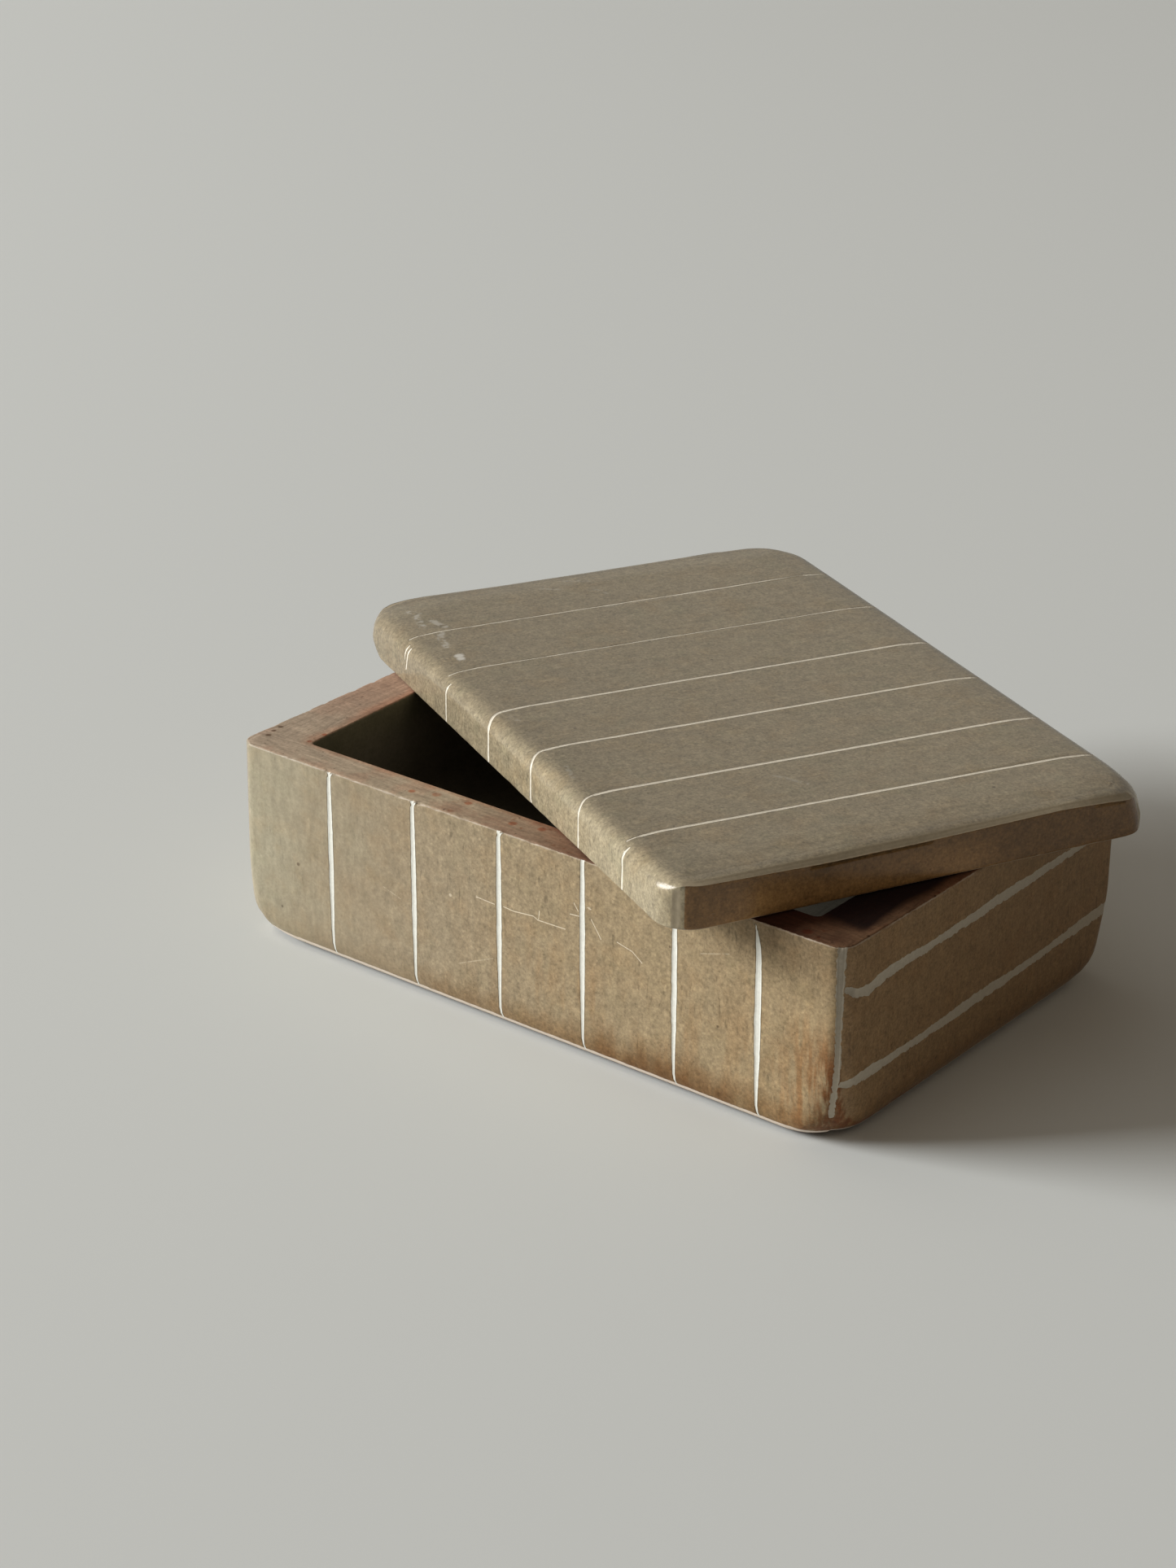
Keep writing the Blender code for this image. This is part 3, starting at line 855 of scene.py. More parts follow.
def shoulder_drop(point):
    """How far the top sinks at a point, in the lid's own frame."""
    gaps = []
    for corner, following in zip(lid_plan, lid_plan[1:] + lid_plan[:1]):
        side = following - corner
        gaps.append((point.to_2d() - corner).dot(Vector((-side.y, side.x)).normalized()))
    inside = ramp(min(gaps), LID_EDGE_IN * 0.5, LID_SHOULDER_REACH)
    return LID_SHOULDER_DROP * (1 - eased(inside))


def drooped(point):
    """The point where wear at the most used corners leaves it: lower, and further in."""
    for corner, down, inwards in DROOPS:
        near = 1 - ramp((point.to_2d() - lid_plan[corner]).length, *DROOP_SPAN)
        worn = near * near * ramp(point.z, 0.003, LID_THICKNESS)
        towards = math.copysign(inwards, lid_plan[corner].x)
        point = point - Vector((towards, towards, down)) * worn
    return point


def lid_edge(share):
    """Inset and height at a share of the way over the lid's rounded top edge."""
    angle = QUARTER_TURN * share
    rise = (LID_EDGE_DOWN - LID_SHOULDER_DROP) * math.sin(angle)
    return LID_EDGE_IN * (1 - math.cos(angle)), LID_THICKNESS - LID_EDGE_DOWN + rise


def add_lid(skin):
    """The whole slab: underside, sides, rounded edge and top."""
    rings = [skin.add_ring(lid_ring(3 * LID_UNDER_ROUND, 0, LID_SIDE_SHIFT), side_reach=-0.002,
                           over_arris=-LID_THICKNESS)]
    for step in range(RIM_STEPS):
        angle = QUARTER_TURN * step / RIM_STEPS
        inset = LID_UNDER_ROUND * (1 - math.sin(angle))
        height = LID_UNDER_ROUND * (1 - math.cos(angle))
        rings.append(skin.add_ring(lid_ring(inset, height, LID_SIDE_SHIFT),
                                   side_reach=height - inset, over_arris=-LID_THICKNESS,
                                   carving=step / RIM_STEPS, wear=1))
    edge_start = LID_THICKNESS - LID_EDGE_DOWN
    for step in range(LID_SIDE_STEPS):
        height = LID_UNDER_ROUND + (edge_start - LID_UNDER_ROUND) * step / LID_SIDE_STEPS
        rings.append(skin.add_ring(lid_ring(0, height, LID_SIDE_SHIFT), side_reach=height,
                                   over_arris=height - edge_start, carving=1,
                                   wear=1 - ramp(height, 0, RIM_WEAR_REACH)))
    for step in range(LID_EDGE_STEPS + 1):
        share = step / LID_EDGE_STEPS
        inset, height = lid_edge(share)
        rings.append(skin.add_ring(lid_ring(inset, height, lid_slide(share), share),
                                   side_reach=height + inset, over_arris=inset, carving=1))
    for lower, upper in zip(rings, rings[1:]):
        skin.band(lower, upper)
    skin.fill_below(rings[0])
    skin.fill_grid(rings[-1], side_reach=LID_THICKNESS + 2 * LID_EDGE_IN, over_arris=2 * LID_EDGE_IN,
                   carving=1)
    for point in skin.points[rings[-1][0][0]:]:
        point.z = max(point.z, LID_THICKNESS - shoulder_drop(point))
    skin.values["end_gap"] = [gap_to_end(point) for point in skin.points]
    skin.points = [drooped(point) for point in skin.points]


lid_skin = Skin("stone_lid", ("side_reach", "over_arris", "end_gap", "carving", "wear"))
add_lid(lid_skin)
lid_skin.points = [LID_PLACE @ point for point in lid_skin.points]
lid = lid_skin.finished()
lid.data.set_sharp_from_angle(angle=LID_SHARP_FROM)
print(len(lid.data.vertices), "points and", len(lid.data.polygons), "faces on the lid")

# %% [markdown]
# ## The scratched lines
# Each line is a path on the stone, as a scriber drew it, with half its width as the curve's
# radius. The paths keep a little of the scriber's hand: most stripes hook to the right at the rim, all
# swell in the middle and run out in a thin tail at the foot, and the lines along the ends dip
# where they start.

# %% Stripes down the front and back
PATH_STEP = 0.0006
STRIPE_STEPS = 24
TAIL_STEPS = 5
STRIPE_HALF_AT_RIM = 0.00042
STRIPE_HALF = 0.00059         # half the width of a stripe at its middle
STRIPE_HALF_AT_FOOT = 0.00034
TAIL_HALF = 0.00008
TAIL_DRIFT = 0.0006           # the thin tail of a stripe drifts this far to the right
FOOT_SHARE = 0.50             # of the rounded foot that a stripe runs down
HOOK_REACH = 0.0010           # a small tick to the right, where the scriber was set down
HOOK_HALF = 0.00022
HOOK_POINTS = ((0, 0.0012, HOOK_HALF), (0.6, 0.0007, HOOK_HALF), (1, 0.0003, TAIL_HALF))
# Each point of a tick: the share of its reach, how far below the rim, and half its width.
HOOKED_STRIPES = (0, 1, 2)
LATE_STRIPE = 5               # this one starts below the rim, and curves in from the left
LATE_START = 0.0010
LATE_CURVE = 0.0009
LATE_WIDTH = 1.15             # it is a little wider than the others


def stripe_half(share):
    """Half the width of a stripe, from the rim at 0 to the foot at 1."""
    if share < 0.35:
        return STRIPE_HALF_AT_RIM + (STRIPE_HALF - STRIPE_HALF_AT_RIM) * share / 0.35
    return STRIPE_HALF + (STRIPE_HALF_AT_FOOT - STRIPE_HALF) * ramp(share, 0.7, 1)


def stripe(number, side):
    """One stripe down the front, where side is -1, or down the back, where it is 1."""
    middle = BLOCK_LENGTH * (STRIPE_SHARES[number] - 0.5) - side * STRIPE_SHIFTS[number]
    late = number == LATE_STRIPE and side < 0
    start = BLOCK_HEIGHT - (LATE_START if late else 0)
    path = []
    for step in range(STRIPE_STEPS + 1):
        share = step / STRIPE_STEPS
        height = start - (start - BLOCK_BASE_ROUND) * share
        across = middle + stripe_slide(height) * (1 if side < 0 else 0)
        half_width = stripe_half(share)
        if late:
            across -= LATE_CURVE * (1 - ramp(share, 0, 0.22)) ** 2
            half_width *= ramp(share, -0.02, 0.12) * LATE_WIDTH
        path.append((Vector((across, side * BLOCK_WIDTH / 2, height)), half_width))
    last = path[-1][0].x
    for step in range(1, TAIL_STEPS + 1):
        share = step / TAIL_STEPS
        inset, height = turned_under(QUARTER_TURN * FOOT_SHARE * share, BLOCK_FIRMNESS[0 if side < 0 else 2])
        half_width = STRIPE_HALF_AT_FOOT + (TAIL_HALF - STRIPE_HALF_AT_FOOT) * share
        path.append((Vector((last + TAIL_DRIFT * share * share, side * (BLOCK_WIDTH / 2 - inset), height)),
                     half_width))
    return path


def hook(number):
    """The tick beside the top of a stripe."""
    across = BLOCK_LENGTH * (STRIPE_SHARES[number] - 0.5) + STRIPE_SHIFTS[number] + stripe_slide(BLOCK_HEIGHT)
    return [(Vector((across + HOOK_REACH * share, -BLOCK_WIDTH / 2, BLOCK_HEIGHT - drop)), half_width)
            for share, drop, half_width in HOOK_POINTS]


stripe_paths = [stripe(number, side) for number in range(len(STRIPE_SHARES)) for side in (-1, 1)]
stripe_paths += [hook(number) for number in HOOKED_STRIPES]
print(len(stripe_paths), "paths down the front and back")

# %% Lines down the corners and along the ends
CORNER_LINE_HALF = 0.0009
CORNER_LINE_STEPS = 20
CORNER_LINE_TAPER = 0.36      # share of its width that it loses, most of all below its middle
CORNER_LINE_END = 0.0067      # it stops, cut off square, at this height
END_LINE_HALF = 0.00102
END_LINE_BREATH = 0.16        # the width of an end line swells and narrows by this share
END_LINE_WAVE = 0.007         # over this length
END_LINE_RIPPLE = 0.00012     # and the line rises and sinks by this much
END_LINE_SAG = 0.0005         # it is this much lower in the middle
NEAR_CORNER_DIP = 0.0012      # the upper line dips here, after a level start at the corner's line
DIP_PLACE = 0.008             # behind the front corner
DIP_REACH = 0.0045
LEVEL_START = 0.0022


def corner_line(corner):
    """The line down one corner, a little round it towards the end face."""
    turn = 0.5 + CORNER_LINE_TURN * (-1 if corner % 2 == 0 else 1)
    path = []
    for step in range(CORNER_LINE_STEPS + 1):
        height = BLOCK_HEIGHT - (BLOCK_HEIGHT - CORNER_LINE_END) * step / CORNER_LINE_STEPS
        place = block_outline.arc_point(corner, corner_radii_at(height), 0, turn)
        waist = 1 - CORNER_LINE_TAPER * math.sin(min(step / CORNER_LINE_STEPS, 0.75) * math.pi / 1.5)
        path.append((place.to_3d() + Vector((0, 0, height)), CORNER_LINE_HALF * waist))
    return path


def end_line(height, index):
    """A line along an end face, from one corner's line to the next one's."""
    plan = block_outline.side(index, corner_radii_at(height), 0)
    first, last = round(len(HALF_ARC) * 0.3), len(plan) - round(len(HALF_ARC) * 0.3)
    path = []
    for point in plan[first:last:2]:
        behind = point.y + BLOCK_WIDTH / 2
        wave = math.sin(behind / END_LINE_WAVE + 40 * height / BLOCK_HEIGHT)
        lift = END_LINE_RIPPLE * wave - END_LINE_SAG * math.sin(math.pi * min(max(behind / BLOCK_WIDTH, 0), 1))
        if index == 1 and height > BLOCK_FOOT_HEIGHT:
            lift -= NEAR_CORNER_DIP * math.exp(-((behind - DIP_PLACE) / DIP_REACH) ** 2)
            lift += NEAR_CORNER_DIP * (1 - ramp(behind, LEVEL_START, LEVEL_START * 2))
        half_width = END_LINE_HALF * (1 + END_LINE_BREATH * wave) * ramp(behind, -0.004, 0.006)
        path.append((sloped(point.to_3d() + Vector((0, 0, height))) + Vector((0, 0, lift)), half_width))
    return path


def draw_lines(name, paths):
    """One curve object that holds every path."""
    curve = bpy.data.curves.new(name, 'CURVE')
    curve.dimensions = '3D'
    for path in paths:
        spline = curve.splines.new('POLY')
        spline.points.add(len(path) - 1)
        for point, (place, half_width) in zip(spline.points, path):
            point.co = (*place, 1)
            point.radius = half_width
    lines = bpy.data.objects.new(name, curve)
    bpy.context.scene.collection.objects.link(lines)
    return lines


end_paths = [corner_line(corner) for corner in range(4)]
end_paths += [end_line(height, index) for height in END_LINE_HEIGHTS for index in (1, 3)]
block_lines = draw_lines("block_lines", stripe_paths + end_paths)
print(len(block_lines.data.splines), "lines on the block")

# %% Line paths on the lid
EDGE_PATH_STEPS = 8
TOP_PATH_STEPS = 80
LID_LINE_HALVES = (0.00020, 0.00017, 0.00034, 0.00037, 0.00040, 0.00037)
LID_LINE_TIP_HALF = 0.00015
LID_MARK_HALVES = (0.00024, 0.00028, 0.00040, 0.00034, 0.00027, 0.00031)
LID_MARK_OFFSETS = (-0.0014, -0.0003, -0.0006, -0.0003, -0.0008, -0.0012)   # off their even places
LID_MARK_ENDS = (0.50, 0.50, 1, 1, 1, 0.58)    # of the way over the edge, where each mark stops
JOINED_LINES = (2, 3, 4)      # these bend over the edge into their marks; the others leave a gap
LINE_START = 0.66             # of the way over the edge, where a line on the top starts
SECOND_MARK = 0.0014          # the first mark was scratched twice, this far apart
FIRST_MARK_FOOT = 0.0035      # it starts this far above the underside
FIRST_MARK_LEAN = 0.0008      # and its foot stands this much further left
LID_BAND_HALF = 0.00085
LID_BAND_INSET = 0.00062      # the band along an end lies this far in, just above the sharp edge
LID_CORNER_LINE_HALF = 0.0007


def lid_side_y(across, left, right):
    """Where a long side of the lid stands at a place along its length."""
    share = (across - left.x) / (right.x - left.x)
    return left.y + (right.y - left.y) * share


def over_the_edge(across, side, first, last, half_width, slide_from=0.0):
    """Points up over the rounded edge of a long side, from one share of the way to another."""
    left, right = (lid_plan[0], lid_plan[1]) if side < 0 else (lid_plan[3], lid_plan[2])
    path = []
    for step in range(EDGE_PATH_STEPS + 1):
        share = first + (last - first) * step / EDGE_PATH_STEPS
        inset, height = lid_edge(share)
        place = across + slide_from * lid_slide(share) / LID_SIDE_SHIFT
        path.append((Vector((place, lid_side_y(place, left, right) - side * inset, height)), half_width))
    return path


def side_mark(number, across):
    """A mark down the front side of the lid, up to its share of the way over the edge."""
    half_width = LID_MARK_HALVES[number]
    lean, foot = (FIRST_MARK_LEAN, FIRST_MARK_FOOT) if number == 0 else (0, 0)
    low = Vector((across - lean, lid_side_y(across, lid_plan[0], lid_plan[1]), foot))
    path = [(low, half_width)] + over_the_edge(across, -1, 0, LID_MARK_ENDS[number], half_width)
    return [(place, min(half_width, LID_LINE_TIP_HALF + 0.00003 * (len(path) - 1 - index)))
            for index, (place, _) in enumerate(path)]


def lid_line(number):
    """The paths of one line: down the front side, across the top and down the back."""
    across = LID_LENGTH * (LID_LINE_SHARES[number] - 0.5)
    shift = LID_SIDE_SHIFT + LID_MARK_OFFSETS[number]
    if number in JOINED_LINES:
        half_width = LID_MARK_HALVES[number]
        foot = across + shift
        start = [(Vector((foot, lid_side_y(foot, lid_plan[0], lid_plan[1]), 0)), half_width)]
        start += over_the_edge(across, -1, 0, 1, half_width * 0.9, shift)
        paths = []
    else:
        start = over_the_edge(across, -1, LINE_START, 1, LID_LINE_TIP_HALF)
        paths = [side_mark(number, across + shift)]
    back = over_the_edge(across, 1, 1, 0, LID_MARK_HALVES[number])
    near, far = start[-1][0], back[0][0]
    top = []
    for step in range(1, TOP_PATH_STEPS):
        point = near.lerp(far, step / TOP_PATH_STEPS)
        point.z = LID_THICKNESS - shoulder_drop(point)
        top.append((point, LID_LINE_HALVES[number]))
    low = Vector((across, lid_side_y(across, lid_plan[3], lid_plan[2]), 0))
    return paths + [start + top + back + [(low, LID_MARK_HALVES[number])]]


def lid_end_lines():
    """A band along each end, and a line up each corner."""
    paths = []
    inset = LID_BAND_INSET
    for index in (1, 3):
        plan = lid_outline.side(index, LID_CORNER_RADII, inset)
        first, last = round(len(LID_HALF_ARC) * 0.4), len(plan) - round(len(LID_HALF_ARC) * 0.4)
        path = []
        for point in plan[first:last:3]:
            place = Vector((*point, end_height(point.y, inset, LID_THICKNESS)))
            path.append((drooped(place), LID_BAND_HALF))
        paths.append(path)
    for corner in range(4):
        foot = lid_outline.arc_point(corner, LID_CORNER_RADII, 0, 0.5).to_3d()
        top = foot + Vector((0, 0, LID_THICKNESS * 0.75))
        paths.append([(foot, LID_CORNER_LINE_HALF), (top, LID_CORNER_LINE_HALF)])
    return paths


lid_paths = [path for number in range(len(LID_LINE_SHARES)) for path in lid_line(number)]
first_mark = LID_LENGTH * (LID_LINE_SHARES[0] - 0.5) + LID_SIDE_SHIFT + LID_MARK_OFFSETS[0]
lid_paths += [side_mark(0, first_mark + SECOND_MARK)] + lid_end_lines()
lid_lines = draw_lines("lid_lines", [[(LID_PLACE @ point, half_width) for point, half_width in path]
                                     for path in lid_paths])
print(len(lid_lines.data.splines), "lines on the lid")

# %% [markdown]
# ## Scratching the lines in
# A Geometry Nodes tree follows the paths: it measures how far each point of the skin is from the
# nearest path, as a share of the line's half width there, and presses the stone in where that is
# below one. Noise makes the edges ragged. The share stays on the points, so the finish knows
# where the dye is gone. The same tree carves the faces in soft, shallow waves and breaks small
# chips out of the worn edges. Everything goes inwards, so that the stone never grows.

# %% Scratching tree
WANDER_SIZE = 0.004           # a line drifts off its path and back over this length


def new_tree(name, inputs):
    """A Geometry Nodes tree with a geometry in and out, and named inputs.

    Returns its graph and a signal for each input.
    """
    tree = bpy.data.node_groups.new(name, 'GeometryNodeTree')
    tree.interface.new_socket("Geometry", in_out='INPUT', socket_type='NodeSocketGeometry')
    tree.interface.new_socket("Geometry", in_out='OUTPUT', socket_type='NodeSocketGeometry')
    for input_name, kind in inputs.items():
        tree.interface.new_socket(input_name, in_out='INPUT', socket_type=kind)
    graph = Graph(tree)
    entry = tree.nodes.new("NodeGroupInput")
    given = {socket.name: Signal(graph, socket) for socket in entry.outputs if socket.name}
    return graph, given


def measure_lines(graph, given, place):
    """How far a point is from the nearest path: as a share of the line's ragged half width there,
    and in metres beyond its edge."""
    lines = graph.add("GeometryNodeObjectInfo", inputs={"Object": given["Lines"]}, output="Geometry")
    fine = graph.add("GeometryNodeResampleCurve", {"mode": 'LENGTH'}, {"Curve": lines, "Length": PATH_STEP})
    marked = graph.stored(fine, "half_width", graph.add("GeometryNodeInputRadius"))
    wire = graph.add("GeometryNodeCurveToMesh", inputs={"Curve": marked})
    jitter = graph.noise(place, WANDER_SIZE, given["Seed"], output="Color")
    jitter = graph.scaled(graph.vector('SUBTRACT', jitter, (0.5, 0.5, 0.5)), given["Wander"] * 2)
    asked = graph.vector('ADD', place, jitter)
    distance = graph.add("GeometryNodeProximity", {"target_element": 'EDGES'},
                         {"Geometry": wire, "Sample Position": asked}, "Distance")
    nearest = graph.add("GeometryNodeSampleNearest", {"domain": 'POINT'},
                        {"Geometry": wire, "Sample Position": asked})
    half_width = graph.add("GeometryNodeSampleIndex", {"data_type": 'FLOAT', "domain": 'POINT'},
                           {"Geometry": wire, "Value": graph.kept("half_width"), "Index": nearest})
    lumps = graph.noise(place, given["Ragged size"], given["Seed"] + 7, 1.0)
    ragged = half_width * (1 + (lumps - 0.5) * 2 * given["Ragged share"])
    return distance / ragged, distance - ragged


def make_scratching_tree():
    """Press ragged grooves along paths into a skin, chip its edges and carve its faces."""
    length, value = 'NodeSocketFloat', 'NodeSocketFloat'
    graph, given = new_tree("scratch and carve", {
        "Lines": 'NodeSocketObject', "Groove depth": length, "Ragged share": value,
        "Ragged size": length, "Wander": length, "Wave height": length, "Wave size": length,
        "Chip depth": length, "Chip size": length, "Seed": value, "Stone": 'NodeSocketMaterial'})
    place = graph.add("GeometryNodeInputPosition")
    carving, wear, line_share = [graph.kept(name) for name in ("carving", "wear", "line_share")]
    measured = given["Geometry"]
    for name, measure in zip(("line_share", "line_gap"), measure_lines(graph, given, place)):
        measured = graph.stored(measured, name, measure)
    waves = graph.noise(place, given["Wave size"], given["Seed"], 1.0)
    lumps = graph.noise(place, given["Chip size"], given["Seed"] + 3)
    chips = graph.step(lumps, 0.52, 0.74) * wear * given["Chip depth"]
    groove = graph.step(line_share, 1.0, 0.5) * given["Groove depth"]
    pressed = (waves * given["Wave height"] + groove + chips) * carving
    normal = graph.add("GeometryNodeInputNormal")
    moved = graph.add("GeometryNodeSetPosition",
                      inputs={"Geometry": measured, "Offset": graph.scaled(normal, pressed * -1)})
    solid = graph.add("GeometryNodeRealizeInstances", inputs={"Geometry": moved})
    finished = graph.add("GeometryNodeSetMaterial", inputs={"Geometry": solid, "Material": given["Stone"]})
    graph.add("NodeGroupOutput", inputs={"Geometry": finished})
    return graph.tree


scratching = make_scratching_tree()
print("scratching tree has", len(scratching.nodes), "nodes")


# %% Run the tree on a piece
def scratch(piece, lines, stone, **values):
    """Run the tree on a piece, keep the result as its plain mesh, and drop the paths."""
    modifier = piece.modifiers.new("scratch and carve", 'NODES')
    modifier.node_group = scratching
    wanted = {name.replace("_", " "): value for name, value in values.items()}
    wanted.update(Lines=lines, Stone=stone)
    for item in scratching.interface.items_tree:
        if item.in_out == 'INPUT' and item.name in wanted:
            modifier[item.identifier] = wanted[item.name]
    ready = piece.evaluated_get(bpy.context.evaluated_depsgraph_get())
    mesh = bpy.data.meshes.new_from_object(ready)
    piece.modifiers.clear()
    piece.data = mesh
    bpy.data.objects.remove(lines)
    print(piece.name, "scratched:", len(mesh.polygons), "faces")


# %% [markdown]
# ## Helpers for a stone finish
# Dyed soapstone isn't one colour. The dye lies in clouds, the stone's own grain shows through as
# fine streaks, and a hundred specks, scuffs and hairline scratches break it up. Each of these is
# one noise or one drawn mark that makes the colour darker, paler or warmer. A few helpers keep
# each to one line.

# %% Marks and noise for a finish
BUMP_STRENGTH = 0.8
BUMP_DISTANCE = 0.00008       # how high the grain's bumps are, in metres


class Finish(Graph):
    """The node tree of one stone finish, and the marks that can be drawn on it."""

    def __init__(self, name):
        self.material = bpy.data.materials.new(name)
        self.material.use_nodes = True
        super().__init__(self.material.node_tree)
        self.shader = self.tree.nodes["Principled BSDF"]

    def feed(self, socket_name, signal):
        """Let a signal drive one of the shader's sockets."""
        self.tree.links.new(signal.socket, self.shader.inputs[socket_name])

    def drawn_out(self, place, squeeze, size, seed, detail=2.0):
        """Noise that is longer along one direction, as grain and runs of dye are."""
        return self.noise(self.vector('MULTIPLY', place, squeeze), size, seed, detail)

    def roughen(self, height):
        """Let a height make fine bumps for the light."""
        self.feed("Normal", self.add("ShaderNodeBump", inputs={
            "Strength": BUMP_STRENGTH, "Distance": BUMP_DISTANCE, "Height": height}))

    def varied(self, noise, strength):
        """A factor about 1 that a noise makes larger or smaller by up to a share."""
        return 1 + (noise - 0.5) * (2 * strength)

    def tinted(self, amount, colour, tint):
        """The colour multiplied by a tint, where amount is 1."""
        return self.mix(amount, colour, self.vector('MULTIPLY', colour, tint))

    def scratches(self, place, strokes, half_width):
        """1 along hairline scratches: each stroke is a list of points in the same plane as place."""
        mark = None
        for start, end in [pair for stroke in strokes for pair in zip(stroke, stroke[1:])]:
            start, end = Vector(start), Vector(end)
            along = end - start
            from_start = self.vector('SUBTRACT', place, tuple(start))
            share = self.vector('DOT_PRODUCT', from_start, tuple(along / along.length_squared), "Value")
            foot = self.scaled(tuple(along), share.most(0.0).least(1.0))
            gap = self.vector('DISTANCE', from_start, foot, "Value")
            mark = gap if mark is None else mark.least(gap)
        return self.step(mark, half_width, half_width * 0.4)

    def spots(self, place, spots):
        """1 on round spots, each given as its middle and its radius."""
        mark = None
        for middle, radius in spots:
            gap = self.vector('DISTANCE', place, tuple(middle), "Value") / radius
            mark = gap if mark is None else mark.least(gap)
        return self.step(mark, 1.0, 0.4)


def on_front(*points):
    """Points in millimetres on the front, across and up, as points in metres on a flat front."""
    return [(across / 1000, 0.0, up / 1000) for across, up in points]


print("finish helpers ready")

# %% [markdown]
# ## The block's finish
# The block was dyed tan, and the dye went on unevenly: greyer at the left, browner to the right,
# orange and fibrous at the near right corner, dark where it pooled along the foot. The right end's
# darker dye is partly painted shade, and the lid's shadow is painted on the front below the rim. The
# rim was rubbed bare after dyeing and is pinkish raw stone, stained red-brown at the right, where
# painted shade under the lid deepens it. Painted highlight and shade mark the foot's edge, and
# painted shade runs beside each line. The hollow was dyed charcoal. The finish tells these zones
# apart by the values on the points: the reach past the rim's edge, and the depth in the hollow.

# %% Colours of the block
BLOCK_GLOSS = 0.12
BLOCK_ROUGHNESS = 0.34
FRONT_DYE = ((0.0, (0.398, 0.360, 0.262)), (0.25, (0.345, 0.283, 0.194)),
             (0.6, (0.352, 0.276, 0.172)), (1.0, (0.372, 0.285, 0.168)))
# The right end's dye is browner and darker than the front's: partly painted shade, as that end faces away from
# the window.
RIGHT_END_DYE_AND_SHADE = (0.262, 0.168, 0.086)
LEFT_END_DYE = (0.345, 0.290, 0.198)  # the end that the photograph hides, as the front beside it
FOOT_DYE = (0.72, 0.61, 0.50)         # what the pooled dye makes of the colour above it
FIBRE_DYE = (0.80, 0.57, 0.41)        # the same for the orange fibres at the near right corner
POOL_DYE = (0.60, 0.40, 0.30)         # and for the red-brown pool beside the corner's line
LID_SHADOW_PAINT = (0.70, 0.67, 0.655)       # and for the painted shadow of the lid's near corner
RUN_DYE = (0.95, 0.87, 0.80)          # for the runs down the lower half
PUDDLE_DYE = (0.70, 0.60, 0.52)       # and for the brown patch low between the fourth and sixth stripes
RAW_EDGE = (0.54, 0.46, 0.38)
HEEL_WEAR_AND_HIGHLIGHT = (0.88, 0.77, 0.66)        # the worn line where the faces turn under, made paler than bare stone as a painted highlight
HEEL_SHADE = (0.24, 0.185, 0.165)     # the bare stone below it, darkened as painted shade where the foot turns under
LINE_STONE = (0.80, 0.81, 0.75)
END_LINE_STONE = (0.455, 0.405, 0.322)
# The rim's colours from left to right: the dark stops at the right are red-brown stain, deepened by painted
# shade where the lid covers the rim.
RIM_STONE_AND_SHADE = ((0.0, (0.405, 0.322, 0.242)), (0.34, (0.425, 0.345, 0.242)), (0.54, (0.215, 0.125, 0.080)),
             (0.80, (0.030, 0.009, 0.004)), (0.91, (0.050, 0.018, 0.010)), (1.0, (0.175, 0.100, 0.056)))
# A spot is its middle, in metres on the block, and its radius.
RIM_CHIPS = [((-0.0720, -0.0424, 0), 0.0009), ((-0.0727, -0.0400, 0), 0.0007),
             ((-0.0730, -0.0377, 0), 0.0008), ((0.0747, -0.0405, 0), 0.0006),
             ((0.0748, -0.0186, 0), 0.0006)]
RIM_SPOTS = [((-0.0187, -0.0422, 0), 0.0011), ((-0.0311, -0.0449, 0), 0.0010),
             ((-0.0262, -0.0430, 0), 0.0013), ((-0.0060, -0.0440, 0), 0.0012),
             ((0.0000, -0.0425, 0), 0.0012), ((0.0650, -0.0462, 0), 0.0014),
             ((-0.0633, -0.0395, 0), 0.0008), ((-0.0633, -0.0350, 0), 0.0008)]
RIM_PINK = (1.00, 0.84, 0.82)
RIM_STAIN = (0.66, 0.42, 0.32)
RIM_SPILL_AND_SHADE = (0.006, 0.001, 0.001)     # the hollow's dye spilt over the right wall's rim, and painted shade under the lid
HOLLOW_TOP = (0.190, 0.182, 0.126)
HOLLOW_DEEP = (0.225, 0.208, 0.165)


